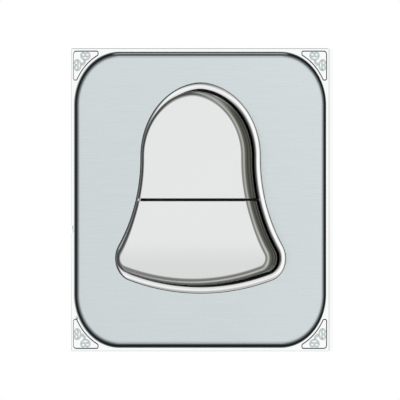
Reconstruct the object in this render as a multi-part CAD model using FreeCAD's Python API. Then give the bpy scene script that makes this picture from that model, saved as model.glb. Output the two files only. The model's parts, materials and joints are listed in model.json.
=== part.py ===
import FreeCAD
import Part
import math
import os

from FreeCAD import Vector

# Bell-shaped doorbell push button on a square wall plate, in millimetres.
# +X is to the right, +Z is up and -Y faces the visitor. The wall is the plane y = 0, and the origin
# is the middle of the plate on it. Depths are y values, so a front face has the smaller one.
# A profile is drawn in the XZ plane and carried back along +Y.

# Chrome cover frame
plate_size = 86.0
plate_depth = 8.0
plate_corner_radius = 0.6
rim_thickness = 2.0
rim_overhang = 4.0
skirt_wall = 1.6
skirt_corner_radius = 4.0
skirt_wall_gap = 0.3
frame_strip = 1.0
cove_width = 1.3
cove_depth = 0.3
opening_corner_radius = 15.1
ledge_width = 4.2
ledge_thickness = 1.5
snap_length = 10.0
snap_reach = 0.7
snap_thickness = 0.8
snap_catch_gap = 0.1
pry_notch_radius = 1.15
pry_notch_depth = 0.6
pry_notch_z = -8.3

# Ornament insets in the four corners of the frame
ornament_edge_margin = 1.0
ornament_leg = 7.9
ornament_land = 0.55
ornament_groove = 0.3
ornament_thickness = 0.8
ornament_corner_radius = 0.8
ornament_tip_radius = 0.3
relief_height = 0.12
relief_width = 0.34
relief_tip_width = 0.16
scroll_half_length = 5.8
scroll_start_radius = 2.3
scroll_end_radius = 0.45
scroll_along = 3.85
scroll_inward = 2.28
curl_width = 0.24
curl_length = 1.6
curl_start_radius = 0.714
curl_end_radius = 0.192
curl_start = 3.05
curl_heading = 222.0

# Brushed panel
panel_thickness = 0.8
panel_edge_clearance = 0.05

# Bell outline, measured at the hole in the panel, with margins to the edges of the plate.
# Its arcs and hinge places are drawn for one height and keep their proportion to it.
bell_top_margin = 9.7
bell_bottom_margin = 16.35
bell_drawn_height = 59.95
bell_crown_radius = 12.9
bell_shoulder_radius = 21.1
bell_waist_half_width = 20.05
bell_waist_straight = 0.55
bell_flare_radius = 45.3
bell_corner_radius = 6.6
bell_base_radius = 77.7

# Bezel round the keys
bezel_width = 1.95
bezel_rise = 0.4
bezel_slope = 0.28
bezel_outer_round = 0.3
bezel_inner_round = 0.25
bezel_flange = 1.5
bezel_panel_gap = 0.12

# Keys, above and below the seam
key_rise = 4.0
key_gap = 0.4
key_taper = 0.15
key_shoulder_radius = 1.7
key_face_thickness = 1.6
key_wall = 1.5
key_seam = 0.7
key_seam_round = 0.15
key_travel = 1.4
key_travel_clearance = 0.15

# Hinges of the keys
hinge_from_crown = 11.3
hinge_from_base = 9.15
hinge_depth = 3.6
pin_radius = 0.8
pin_running_clearance = 0.05
post_from_side = 12.65
post_thickness = 2.2
post_height = 3.2
post_top_clearance = 0.5
ear_thickness = 2.0
ear_side_clearance = 0.2
ear_wall = 0.65
joint_overlap = 0.75

# Retaining hooks of the keys
hook_from_side = 8.05
hook_width = 3.0
hook_from_seam = 1.0
hook_thickness = 1.4
hook_lip = 1.2
hook_lip_thickness = 1.0
hook_slot_play = 0.3
hook_catch_gap = 0.1

# Key carrier
carrier_thickness = 2.0
carrier_skirt_gap = 0.3
carrier_corner_radius = 3.0
boss_corner_radius = 2.0

# Steel mounting yoke
yoke_thickness = 1.2
yoke_skirt_gap = 1.4
yoke_border = 2.5
yoke_corner_radius = 3.0
fixing_edge_distance = 12.85
fixing_slot_length = 7.0
fixing_slot_width = 4.2
fixing_access_play = 3.2

# Back housing
housing_slot_gap = 2.15
cavity_half_height = 17.5
housing_wall = 1.5
housing_depth = 22.0
housing_flange_width = 3.5
housing_flange_thickness = 1.5
housing_screw_side_gap = 1.0
housing_screw_end_gap = 2.0
housing_screw_radius = 1.25
housing_screw_length = 5.6
housing_screw_head_radius = 2.2
housing_screw_head_height = 1.4
housing_screw_clearance = 0.2
screw_slot_width = 0.6
screw_slot_depth = 0.6

# Switch units, each at a share of the shorter key's arm from the seam
unit_arm_share = 0.4
plunger_radius = 2.0
plunger_running_clearance = 0.1
plunger_key_gap = 0.2
plunger_dome = 0.6
plunger_flange_radius = 3.4
plunger_flange_thickness = 1.2
plunger_rest_gap = 0.1
spigot_radius = 1.2
spigot_length = 3.0
bridge_y = 5.0
bridge_thickness = 0.6
bridge_half_width = 2.2
bridge_end_margin = 1.5
rivet_radius = 1.1
rivet_height = 0.4
contact_closing_gap = 0.1
contact_start_share = 0.3125
contact_end_margin = 1.5
contact_thickness = 0.8
contact_half_width = 2.0
spring_radius = 1.9
spring_wire_radius = 0.25
spring_turns = 9
spring_end_gap = 0.1
spring_spigot_length = 4.0

# Wire terminals
terminal_width = 7.0
terminal_height = 7.0
terminal_length = 8.0
terminal_rib = 1.0
wire_bore_radius = 1.8
wire_bore_depth = 6.6
wire_entry_play = 0.3
clamp_screw_from_back = 3.9
clamp_screw_radius = 1.2
clamp_screw_head_radius = 2.1
clamp_screw_head_height = 1.5
clamp_screw_clearance = 0.05
clamp_tip_gap = 0.3
clamp_access_play = 0.3

# Depths worked out from the sizes above
front = -plate_depth
rim_back = front + rim_thickness
panel_front = front + cove_depth
panel_back = panel_front + panel_thickness
ledge_back = panel_back + ledge_thickness
carrier_front = ledge_back
carrier_back = carrier_front + carrier_thickness
yoke_front = -yoke_thickness
bezel_front = panel_front - bezel_rise
key_front = front - key_rise
key_underside = key_front + key_face_thickness
key_back = carrier_front - key_travel - key_travel_clearance
hinge_y = key_front + hinge_depth
housing_back_inside = housing_depth - housing_wall
terminal_front = housing_back_inside - terminal_length
clamp_screw_y = housing_back_inside - clamp_screw_from_back
bezel_inner_inset = bezel_width
key_base_inset = bezel_inner_inset + key_gap
key_front_inset = key_base_inset + key_taper
key_hollow_inset = key_front_inset + key_wall

# The bell on the plate, and the hinges and hooks in it
bell_top = plate_size / 2 - bell_top_margin
bell_bottom = bell_bottom_margin - plate_size / 2
bell_proportion = (bell_top - bell_bottom) / bell_drawn_height
bell_side_x = bell_waist_half_width * bell_proportion
upper_hinge_z = bell_top - hinge_from_crown * bell_proportion
lower_hinge_z = bell_bottom + hinge_from_base * bell_proportion
unit_z = unit_arm_share * abs(lower_hinge_z)
post_inner_x = bell_side_x - post_from_side
hook_x = bell_side_x - hook_from_side

# Widths and heights behind the panel
skirt_half = plate_size / 2 - rim_overhang
skirt_inside = skirt_half - skirt_wall
yoke_half_width = skirt_inside - yoke_skirt_gap
fixing_x = plate_size / 2 - fixing_edge_distance
flange_half_width = fixing_x - fixing_slot_length / 2 - housing_slot_gap
housing_half_width = flange_half_width - housing_flange_width
cavity_half_width = housing_half_width - housing_wall
housing_half_height = cavity_half_height + housing_wall
housing_screw_x = housing_half_width + housing_screw_side_gap
housing_screw_z = housing_half_height + housing_screw_end_gap
flange_half_height = housing_screw_z + housing_flange_width
yoke_half_height = flange_half_height + yoke_border
terminal_x = cavity_half_width - terminal_width / 2
contact_inner_x = contact_start_share * terminal_x
rivet_x = contact_inner_x + contact_end_margin
bridge_half_length = rivet_x + bridge_end_margin

OVERRUN = 1.0
SAME_PLACE = 1e-4
CURVE_STEPS = 36
WIRE_SIDES = 8


class SwitchUnit:
    """Where one key and the switch behind it stand, on its side of the seam."""

    def __init__(self, name, side, hinge_z):
        self.name = name
        self.side = side
        self.hinge_z = hinge_z
        self.z = side * unit_z
        self.travel = key_travel * abs(hinge_z - self.z) / abs(hinge_z)


UNITS = [
    SwitchUnit("upper", 1, upper_hinge_z),
    SwitchUnit("lower", -1, lower_hinge_z),
]


def block(x_low, x_high, y_low, y_high, z_low, z_high):
    """A box between the given limits, in either order on each axis."""
    x_low, x_high = sorted((x_low, x_high))
    y_low, y_high = sorted((y_low, y_high))
    z_low, z_high = sorted((z_low, z_high))
    corner = Vector(x_low, y_low, z_low)
    return Part.makeBox(x_high - x_low, y_high - y_low, z_high - z_low, corner)


def rod_along_y(radius, x, z, y_front, y_back):
    return Part.makeCylinder(radius, y_back - y_front, Vector(x, y_front, z), Vector(0, 1, 0))


def rod_along_x(radius, x_low, x_high, y, z):
    x_low, x_high = sorted((x_low, x_high))
    return Part.makeCylinder(radius, x_high - x_low, Vector(x_low, y, z), Vector(1, 0, 0))


def slab(wire, y_front, y_back):
    """A closed profile at y = 0, carried from one depth to another."""
    face = Part.Face(wire)
    face.translate(Vector(0, y_front, 0))
    return face.extrude(Vector(0, y_back - y_front, 0))


def arc(centre, radius, start_angle, end_angle):
    """An arc in the XZ plane. Angles in radians, from +X towards +Z."""
    angles = (start_angle, (start_angle + end_angle) / 2, end_angle)
    points = [
        Vector(centre[0] + radius * math.cos(a), 0, centre[1] + radius * math.sin(a)) for a in angles
    ]
    return Part.Arc(*points).toShape()


def straight(start, end):
    return Part.LineSegment(Vector(start[0], 0, start[1]), Vector(end[0], 0, end[1])).toShape()


def rounded_rectangle(half_width, half_height, radius):
    """A rectangle about the origin with tangent corner arcs."""
    x = half_width - radius
    z = half_height - radius
    quarter = math.pi / 2
    edges = []
    corners = [(x, z), (-x, z), (-x, -z), (x, -z)]
    for turn, corner in enumerate(corners):
        edges.append(arc(corner, radius, turn * quarter, (turn + 1) * quarter))
    starts = [(x, half_height), (-half_width, z), (-x, -half_height), (half_width, -z)]
    ends = [(-x, half_height), (-half_width, -z), (x, -half_height), (half_width, z)]
    for start, end in zip(starts, ends):
        edges.append(straight(start, end))
    return Part.Wire(Part.__sortEdges__(edges))


def slot_wire(length, width, x):
    """A slot with round ends, lying along X about the point (x, 0)."""
    radius = width / 2
    reach = length / 2 - radius
    edges = [
        arc((x + reach, 0), radius, -math.pi / 2, math.pi / 2),
        straight((x + reach, radius), (x - reach, radius)),
        arc((x - reach, 0), radius, math.pi / 2, 3 * math.pi / 2),
        straight((x - reach, -radius), (x + reach, -radius)),
    ]
    return Part.Wire(Part.__sortEdges__(edges))


def bell_wire(inset):
    """The bell outline, moved inwards by inset. Its tangent arcs keep their centres."""
    crown_radius = bell_crown_radius * bell_proportion
    shoulder_radius = bell_shoulder_radius * bell_proportion
    flare_radius = bell_flare_radius * bell_proportion
    corner_radius = bell_corner_radius * bell_proportion
    base_radius = bell_base_radius * bell_proportion

    crown = (0.0, bell_top - crown_radius)
    shoulder_x = bell_side_x - shoulder_radius
    drop = math.sqrt((shoulder_radius - crown_radius) ** 2 - shoulder_x**2)
    shoulder = (shoulder_x, crown[1] - drop)
    waist_z = shoulder[1] - bell_waist_straight * bell_proportion
    flare = (bell_side_x + flare_radius, waist_z)
    base = (0.0, bell_bottom + base_radius)

    # the corner circle touches the flare from outside and the base from inside
    to_flare = flare_radius + corner_radius
    to_base = base_radius - corner_radius
    apart = math.dist(flare, base)
    along = (to_base**2 - to_flare**2 + apart**2) / (2 * apart)
    across = math.sqrt(to_base**2 - along**2)
    towards_x = (flare[0] - base[0]) / apart
    towards_z = (flare[1] - base[1]) / apart
    corner = (
        base[0] + along * towards_x + across * towards_z,
        base[1] + along * towards_z - across * towards_x,
    )

    def angle(start, end):
        return math.atan2(end[1] - start[1], end[0] - start[0])

    base_angle = angle(base, corner)
    corner_angle = angle(corner, flare)
    crown_angle = angle(shoulder, crown)
    waist_x = bell_side_x - inset
    right = [
        arc(corner, corner_radius - inset, base_angle, corner_angle),
        arc(flare, flare_radius + inset, corner_angle + math.pi, math.pi),
        straight((waist_x, waist_z), (waist_x, shoulder[1])),
        arc(shoulder, shoulder_radius - inset, 0, crown_angle),
    ]
    edges = [
        arc(base, base_radius - inset, -math.pi - base_angle, base_angle),
        arc(crown, crown_radius - inset, crown_angle, math.pi - crown_angle),
    ]
    for edge in right:
        edges.append(edge)
        edges.append(edge.mirror(Vector(0, 0, 0), Vector(1, 0, 0)))
    return Part.Wire(Part.__sortEdges__(edges))


def edges_at_depth(shape, y):
    """Edges that lie wholly at one depth."""
    found = []
    for edge in shape.Edges:
        box = edge.BoundBox
        if abs(box.YMin - y) < SAME_PLACE and abs(box.YMax - y) < SAME_PLACE:
            found.append(edge)
    return found


def quarter_turns(shape):
    """The shape and its copies turned by 90, 180 and 270 degrees about Y."""
    copies = []
    for turn in range(4):
        copy = shape.copy()
        copy.rotate(Vector(0, 0, 0), Vector(0, 1, 0), 90 * turn)
        copies.append(copy)
    return copies


def cove_cutters():
    """The shallow hollow edge round the opening: a profile on the +X side, carried round the square."""
    outer = plate_size / 2 - frame_strip
    inner = outer - cove_width
    curve_radius = (cove_width**2 + cove_depth**2) / (2 * cove_depth)
    half_angle = math.atan2(cove_width, curve_radius - cove_depth) / 2
    middle_x = inner + curve_radius * math.sin(half_angle)
    middle_y = panel_front - curve_radius * (1 - math.cos(half_angle))
    side = outer - opening_corner_radius
    points = [
        Vector(inner, panel_front, -side),
        Vector(middle_x, middle_y, -side),
        Vector(outer, front, -side),
        Vector(outer, front - OVERRUN, -side),
        Vector(inner, front - OVERRUN, -side),
    ]
    edges = [Part.Arc(points[0], points[1], points[2]).toShape()]
    for start, end in zip(points[2:], points[3:] + points[:1]):
        edges.append(Part.LineSegment(start, end).toShape())
    profile = Part.Face(Part.Wire(edges))
    straight_part = profile.extrude(Vector(0, 0, 2 * side))
    corner_part = profile.revolve(Vector(side, 0, -side), Vector(0, 1, 0), 90)
    return quarter_turns(straight_part) + quarter_turns(corner_part)


def ornament_blank(grow, y_front, y_back):
    """The inset in the top right corner, or with grow its pocket: a triangle with a hollow long side."""
    outer = plate_size / 2 - ornament_edge_margin
    end = outer - ornament_leg
    centre = plate_size / 2 - frame_strip - opening_corner_radius
    hollow_radius = opening_corner_radius + ornament_land + ornament_groove - grow
    square = block(end - grow, outer + grow, y_front, y_back, end - grow, outer + grow)
    hollow = rod_along_y(hollow_radius, centre, centre, y_front - OVERRUN, y_back + OVERRUN)
    blank = square.cut(hollow)
    outer_corner = [
        edge
        for edge in edges_through(blank, y_back - y_front)
        if min(edge.BoundBox.XMin, edge.BoundBox.ZMin) > outer - ornament_edge_margin
    ]
    blank = blank.makeFillet(ornament_corner_radius + grow, outer_corner)
    tips = [
        edge
        for edge in edges_through(blank, y_back - y_front)
        if min(edge.BoundBox.XMin, edge.BoundBox.ZMin) < end - grow + OVERRUN
    ]
    return blank.makeFillet(ornament_tip_radius + grow, tips)


def edges_through(shape, thickness):
    """Edges that run along Y through the whole thickness of a flat piece."""
    return [edge for edge in shape.Edges if abs(edge.BoundBox.YLength - thickness) < SAME_PLACE]


def curl_points(length, start_radius, end_radius):
    """A curve that starts at the origin along +X and bends ever more tightly to the left."""
    x = 0.0
    z = 0.0
    heading = 0.0
    step = length / CURVE_STEPS
    points = [(x, z, heading)]
    for number in range(CURVE_STEPS):
        share = (number + 0.5) / CURVE_STEPS
        curvature = (1 - share) / start_radius + share / end_radius
        heading += curvature * step / 2
        x += step * math.cos(heading)
        z += step * math.sin(heading)
        heading += curvature * step / 2
        points.append((x, z, heading))
    return points


def ribbon(points, start_width, end_width):
    """A flat ribbon along the points, tapering from one width to the other, raised from the inset."""
    left = []
    right = []
    last = len(points) - 1
    for number, (x, z, heading) in enumerate(points):
        half = (start_width + (end_width - start_width) * number / last) / 2
        across = Vector(-math.sin(heading) * half, 0, math.cos(heading) * half)
        left.append(Vector(x, 0, z) + across)
        right.append(Vector(x, 0, z) - across)
    sides = []
    for side_points in (left, right):
        curve = Part.BSplineCurve()
        curve.interpolate(side_points)
        sides.append(curve.toShape())
    ends = [
        Part.LineSegment(left[0], right[0]).toShape(),
        Part.LineSegment(left[-1], right[-1]).toShape(),
    ]
    wire = Part.Wire([sides[0], ends[1], sides[1], ends[0]])
    return slab(wire, front - relief_height, front + relief_height)


def ornament_relief():
    """Raised scrolls of the top right inset: two double scrolls, and two curls that leave the diagonal."""
    corner = plate_size / 2 - ornament_edge_margin
    half_scroll = ribbon(
        curl_points(scroll_half_length, scroll_start_radius, scroll_end_radius),
        relief_width,
        relief_tip_width,
    )
    other_half = half_scroll.mirror(Vector(0, 0, 0), Vector(1, 0, 0))
    scroll = half_scroll.fuse(other_half)
    scroll.translate(Vector(corner - scroll_along, 0, corner - scroll_inward))
    curl = ribbon(
        curl_points(curl_length, curl_start_radius, curl_end_radius),
        curl_width,
        relief_tip_width,
    )
    curl.rotate(Vector(0, 0, 0), Vector(0, -1, 0), curl_heading)
    curl.translate(Vector(corner - curl_start, 0, corner - curl_start))
    pieces = []
    for piece in (scroll, curl):
        pieces.append(piece)
        pieces.append(piece.mirror(Vector(0, 0, 0), Vector(1, 0, -1)))
    return pieces


def make_ornament():
    """The inset of the top right corner."""
    blank = ornament_blank(0.0, front, front + ornament_thickness)
    return blank.fuse(ornament_relief()).removeSplitter()


def in_every_corner(shape):
    """The shape of the top right corner, mirrored into each corner and named."""
    left = shape.mirror(Vector(0, 0, 0), Vector(1, 0, 0))
    return {
        "top_right": shape,
        "top_left": left,
        "bottom_right": shape.mirror(Vector(0, 0, 0), Vector(0, 0, 1)),
        "bottom_left": left.mirror(Vector(0, 0, 0), Vector(0, 0, 1)),
    }


def make_frame():
    """Chrome cover frame: thin rim, coved opening, ledge for the panel, and a skirt with snaps."""
    half = plate_size / 2
    opening = half - frame_strip - cove_width
    opening_radius = opening_corner_radius - cove_width
    window = opening - ledge_width
    rim = slab(rounded_rectangle(half, half, plate_corner_radius), front, rim_back)
    skirt_wire = rounded_rectangle(skirt_half, skirt_half, skirt_corner_radius)
    body = slab(skirt_wire, panel_back, -skirt_wall_gap)
    frame = rim.fuse(body)
    inside_radius = skirt_corner_radius - skirt_wall
    cuts = [
        slab(rounded_rectangle(opening, opening, opening_radius), front - OVERRUN, panel_back),
        slab(rounded_rectangle(window, window, opening_radius - ledge_width), panel_back - OVERRUN, 0),
        slab(rounded_rectangle(skirt_inside, skirt_inside, inside_radius), ledge_back, OVERRUN),
    ]
    cuts += cove_cutters()
    pocket = ornament_blank(ornament_groove, front - OVERRUN, front + ornament_thickness)
    cuts += in_every_corner(pocket).values()
    cuts.append(
        rod_along_y(pry_notch_radius, -half, pry_notch_z, front - OVERRUN, front + pry_notch_depth)
    )
    frame = frame.cut(cuts)
    snap_front = carrier_back + snap_catch_gap
    snap = block(
        skirt_inside - snap_reach,
        skirt_inside + skirt_wall / 2,
        snap_front,
        snap_front + snap_thickness,
        -snap_length / 2,
        snap_length / 2,
    )
    return frame.fuse(quarter_turns(snap)).removeSplitter()


def make_panel():
    """Brushed metal sheet with the bell cut out of it."""
    half = plate_size / 2 - frame_strip - cove_width - panel_edge_clearance
    radius = opening_corner_radius - cove_width - panel_edge_clearance
    sheet = slab(rounded_rectangle(half, half, radius), panel_front, panel_back)
    hole = slab(bell_wire(0.0), panel_front - OVERRUN, panel_back + OVERRUN)
    return sheet.cut(hole)


def make_bezel():
    """Bell ring that stands through the panel and slopes outwards, with a flange held behind it."""
    outer_front = bezel_front + bezel_slope
    outer = bell_wire(bezel_panel_gap)
    outer.translate(Vector(0, outer_front, 0))
    crest = bell_wire(bezel_inner_inset)
    crest.translate(Vector(0, bezel_front, 0))
    slope = Part.makeLoft([outer, crest], True, True)
    ring = slope.fuse(slab(bell_wire(bezel_panel_gap), outer_front, carrier_front)).removeSplitter()
    ring = ring.makeFillet(bezel_outer_round, edges_at_depth(ring, outer_front))
    flange = slab(bell_wire(-bezel_flange), panel_back, carrier_front)
    opening = slab(bell_wire(bezel_inner_inset), bezel_front - OVERRUN, carrier_front + OVERRUN)
    bezel = ring.fuse(flange).cut(opening).removeSplitter()
    wall = bell_wire(bezel_inner_inset)
    inner_edges = []
    for edge in edges_at_depth(bezel, bezel_front):
        middle = edge.valueAt((edge.FirstParameter + edge.LastParameter) / 2)
        if wall.distToShape(Part.Vertex(middle.x, 0, middle.z))[0] < bezel_inner_round:
            inner_edges.append(edge)
    return bezel.makeFillet(bezel_inner_round, inner_edges)


def tapered_bell():
    """Both keys in one: a wall that narrows towards the face, with a round shoulder."""
    base = bell_wire(key_base_inset)
    base.translate(Vector(0, bezel_front, 0))
    top = bell_wire(key_front_inset)
    top.translate(Vector(0, key_front, 0))
    taper = Part.makeLoft([base, top], True, True)
    taper = taper.makeFillet(key_shoulder_radius, edges_at_depth(taper, key_front))
    return taper.fuse(slab(bell_wire(key_base_inset), bezel_front, key_back)).removeSplitter()


def make_key(unit, whole):
    """One key: its half of the bell, hollow behind, with hinge ears and retaining hooks."""
    side = unit.side
    reach = plate_size
    seam = side * key_seam / 2
    half_space = block(-reach, reach, -reach, reach, seam, side * reach)
    key = whole.common(half_space)
    seam_edges = [
        edge
        for edge in edges_at_depth(key, key_front)
        if edge.BoundBox.ZLength < SAME_PLACE and abs(edge.BoundBox.ZMin - seam) < SAME_PLACE
    ]
    key = key.makeChamfer(key_seam_round, seam_edges)
    hollow = slab(bell_wire(key_hollow_inset), key_underside, key_back + OVERRUN)
    hollow = hollow.common(
        block(-reach, reach, -reach, reach, seam + side * key_wall, side * reach)
    )
    key = key.cut(hollow)
    added = []
    bored = []
    for hand in (-1, 1):
        ear_outer = hand * (post_inner_x - ear_side_clearance)
        ear_inner = ear_outer - hand * ear_thickness
        ear_radius = pin_radius + pin_running_clearance + ear_wall
        added.append(rod_along_x(ear_radius, ear_inner, ear_outer, hinge_y, unit.hinge_z))
        added.append(
            block(
                ear_inner,
                ear_outer,
                key_underside - joint_overlap,
                hinge_y,
                unit.hinge_z - ear_radius,
                unit.hinge_z + ear_radius,
            )
        )
        bored.append(
            rod_along_x(
                pin_radius + pin_running_clearance,
                ear_inner - hand * OVERRUN,
                ear_outer + hand * OVERRUN,
                hinge_y,
                unit.hinge_z,
            )
        )
        hook_low = seam + side * hook_from_seam
        hook_high = hook_low + side * hook_thickness
        lip_front = carrier_back + hook_catch_gap
        lip_back = lip_front + hook_lip_thickness
        x_low = hand * hook_x - hook_width / 2
        x_high = hand * hook_x + hook_width / 2
        added.append(block(x_low, x_high, key_underside - joint_overlap, lip_back, hook_low, hook_high))
        added.append(block(x_low, x_high, lip_front, lip_back, hook_low, hook_high + side * hook_lip))
    return key.fuse(added).cut(bored).removeSplitter()


def make_hinge_pin(unit):
    reach = post_inner_x + post_thickness
    return rod_along_x(pin_radius, -reach, reach, hinge_y, unit.hinge_z)


def make_carrier():
    """Moulded plate behind the panel that carries both keys and guides their plungers."""
    half = skirt_inside - carrier_skirt_gap
    plate = slab(rounded_rectangle(half, half, carrier_corner_radius), carrier_front, carrier_back)
    boss_wire = rounded_rectangle(flange_half_width, flange_half_height, boss_corner_radius)
    added = [slab(boss_wire, carrier_back, yoke_front)]
    cuts = [
        block(
            -cavity_half_width,
            cavity_half_width,
            carrier_back,
            OVERRUN,
            -cavity_half_height,
            cavity_half_height,
        )
    ]
    for unit in UNITS:
        side = unit.side
        bore_radius = plunger_radius + plunger_running_clearance
        cuts.append(
            rod_along_y(bore_radius, 0, unit.z, carrier_front - OVERRUN, carrier_back + OVERRUN)
        )
        for hand in (-1, 1):
            added.append(
                block(
                    hand * post_inner_x,
                    hand * (post_inner_x + post_thickness),
                    key_underside + post_top_clearance,
                    carrier_front,
                    unit.hinge_z - post_height / 2,
                    unit.hinge_z + post_height / 2,
                )
            )
            slot_low = side * (key_seam / 2 + hook_from_seam - hook_slot_play)
            arm_swing = key_travel * (carrier_back - hinge_y) / abs(unit.hinge_z)
            slot_height = hook_thickness + 2 * hook_slot_play + arm_swing
            cuts.append(
                block(
                    hand * hook_x - hook_width / 2 - hook_slot_play,
                    hand * hook_x + hook_width / 2 + hook_slot_play,
                    carrier_front - OVERRUN,
                    carrier_back + OVERRUN,
                    slot_low,
                    slot_low + side * slot_height,
                )
            )
        cuts.append(make_hinge_pin(unit))
    for hand in (-1, 1):
        cuts.append(
            slab(
                slot_wire(
                    fixing_slot_length + fixing_access_play,
                    fixing_slot_width + fixing_access_play,
                    hand * fixing_x,
                ),
                carrier_front - OVERRUN,
                carrier_back + OVERRUN,
            )
        )
    for x, z in housing_screw_places():
        cuts.append(rod_along_y(housing_screw_radius, x, z, housing_screw_tip(), OVERRUN))
    return plate.fuse(added).cut(cuts).removeSplitter()


def housing_screw_places():
    return [(x * housing_screw_x, z * housing_screw_z) for x in (-1, 1) for z in (-1, 1)]


def housing_screw_tip():
    """Depth of the screws' front ends, in the boss of the carrier."""
    return housing_flange_thickness - housing_screw_length


def make_yoke():
    """Steel plate behind the carrier that lies on the wall box and takes the two fixing screws."""
    yoke = slab(rounded_rectangle(yoke_half_width, yoke_half_height, yoke_corner_radius), yoke_front, 0)
    cuts = [
        block(
            -cavity_half_width,
            cavity_half_width,
            yoke_front - OVERRUN,
            OVERRUN,
            -cavity_half_height,
            cavity_half_height,
        )
    ]
    for hand in (-1, 1):
        wire = slot_wire(fixing_slot_length, fixing_slot_width, hand * fixing_x)
        cuts.append(slab(wire, yoke_front - OVERRUN, OVERRUN))
    hole_radius = housing_screw_radius + housing_screw_clearance
    for x, z in housing_screw_places():
        cuts.append(rod_along_y(hole_radius, x, z, yoke_front - OVERRUN, OVERRUN))
    return yoke.cut(cuts)


def make_housing():
    """Insulating box behind the yoke, with pockets for the terminals and seats for the springs."""
    flange_wire = rounded_rectangle(flange_half_width, flange_half_height, boss_corner_radius)
    flange = slab(flange_wire, 0, housing_flange_thickness)
    box = block(
        -housing_half_width,
        housing_half_width,
        0,
        housing_depth,
        -housing_half_height,
        housing_half_height,
    )
    cavity = block(
        -cavity_half_width,
        cavity_half_width,
        -OVERRUN,
        housing_back_inside,
        -cavity_half_height,
        cavity_half_height,
    )
    housing = flange.fuse(box).cut(cavity)
    added = []
    cuts = []
    block_top = unit_z + terminal_height / 2
    for hand in (-1, 1):
        rib_outer = terminal_x - terminal_width / 2
        rib_inner = rib_outer - terminal_rib
        added.append(
            block(
                hand * rib_inner,
                hand * rib_outer,
                terminal_front,
                housing_back_inside,
                -block_top,
                block_top,
            )
        )
        for unit in UNITS:
            entry_radius = wire_bore_radius + wire_entry_play
            cuts.append(
                rod_along_y(
                    entry_radius,
                    hand * terminal_x,
                    unit.z,
                    housing_back_inside,
                    housing_depth + OVERRUN,
                )
            )
            cuts.append(
                rod_along_x(
                    clamp_screw_head_radius + clamp_access_play,
                    hand * cavity_half_width,
                    hand * (housing_half_width + OVERRUN),
                    clamp_screw_y,
                    unit.z,
                )
            )
    for unit in UNITS:
        seat = housing_back_inside - spring_spigot_length
        added.append(rod_along_y(spigot_radius, 0, unit.z, seat, housing_back_inside))
    hole_radius = housing_screw_radius + housing_screw_clearance
    for x, z in housing_screw_places():
        cuts.append(rod_along_y(hole_radius, x, z, -OVERRUN, housing_flange_thickness + OVERRUN))
    return housing.fuse(added).cut(cuts).removeSplitter()


def make_housing_screws():
    """Four tapping screws from behind, through flange and yoke into the carrier."""
    screws = []
    for x, z in housing_screw_places():
        head_back = housing_flange_thickness + housing_screw_head_height
        shank = rod_along_y(housing_screw_radius, x, z, housing_screw_tip(), housing_flange_thickness)
        head = rod_along_y(housing_screw_head_radius, x, z, housing_flange_thickness, head_back)
        slot = block(
            x - housing_screw_head_radius - OVERRUN,
            x + housing_screw_head_radius + OVERRUN,
            head_back - screw_slot_depth,
            head_back + OVERRUN,
            z - screw_slot_width / 2,
            z + screw_slot_width / 2,
        )
        screws.append(shank.fuse(head).cut(slot).removeSplitter())
    return Part.makeCompound(screws)


def make_plunger(unit):
    """Plunger from the key's underside to the bridge contact, with a stop flange and a spring spigot."""
    head_front = key_underside + plunger_key_gap
    flange_front = carrier_back + plunger_rest_gap
    stem = rod_along_y(plunger_radius, 0, unit.z, head_front, bridge_y)
    stem = stem.makeFillet(plunger_dome, edges_at_depth(stem, head_front))
    flange_back = flange_front + plunger_flange_thickness
    flange = rod_along_y(plunger_flange_radius, 0, unit.z, flange_front, flange_back)
    spigot = rod_along_y(
        spigot_radius, 0, unit.z, bridge_y, bridge_y + bridge_thickness + spigot_length
    )
    return stem.fuse([flange, spigot]).removeSplitter()


def make_bridge(unit):
    """Moving contact strip on the plunger, with a rivet at each end."""
    bridge_back = bridge_y + bridge_thickness
    strip = block(
        -bridge_half_length,
        bridge_half_length,
        bridge_y,
        bridge_back,
        unit.z - bridge_half_width,
        unit.z + bridge_half_width,
    )
    rivets = []
    rivet_back = bridge_back + rivet_height
    for hand in (-1, 1):
        rivets.append(rod_along_y(rivet_radius, hand * rivet_x, unit.z, bridge_y, rivet_back))
    hole = rod_along_y(spigot_radius, 0, unit.z, bridge_y - OVERRUN, bridge_back + OVERRUN)
    return strip.fuse(rivets).cut(hole).removeSplitter()


def make_fixed_contact(unit, hand):
    """Bent strip that the bridge closes on, with its leg on the terminal."""
    contact_front = bridge_y + bridge_thickness + rivet_height + unit.travel + contact_closing_gap
    contact_back = contact_front + contact_thickness
    z_low = unit.z - contact_half_width
    z_high = unit.z + contact_half_width
    leg_outer = terminal_x + contact_thickness / 2
    arm = block(hand * contact_inner_x, hand * leg_outer, contact_front, contact_back, z_low, z_high)
    leg = block(
        hand * (leg_outer - contact_thickness),
        hand * leg_outer,
        contact_front,
        terminal_front,
        z_low,
        z_high,
    )
    return arm.fuse(leg).removeSplitter()


def make_terminal(unit, hand):
    """Brass block with a bore for the wire from behind and a tapped hole for its clamp screw."""
    terminal = block(
        hand * (terminal_x - terminal_width / 2),
        hand * (terminal_x + terminal_width / 2),
        terminal_front,
        housing_back_inside,
        unit.z - terminal_height / 2,
        unit.z + terminal_height / 2,
    )
    bore = rod_along_y(
        wire_bore_radius,
        hand * terminal_x,
        unit.z,
        housing_back_inside - wire_bore_depth,
        housing_back_inside + OVERRUN,
    )
    tapped = rod_along_x(
        clamp_screw_radius + clamp_screw_clearance,
        hand * terminal_x,
        hand * (terminal_x + terminal_width),
        clamp_screw_y,
        unit.z,
    )
    return terminal.cut([bore, tapped])


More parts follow.
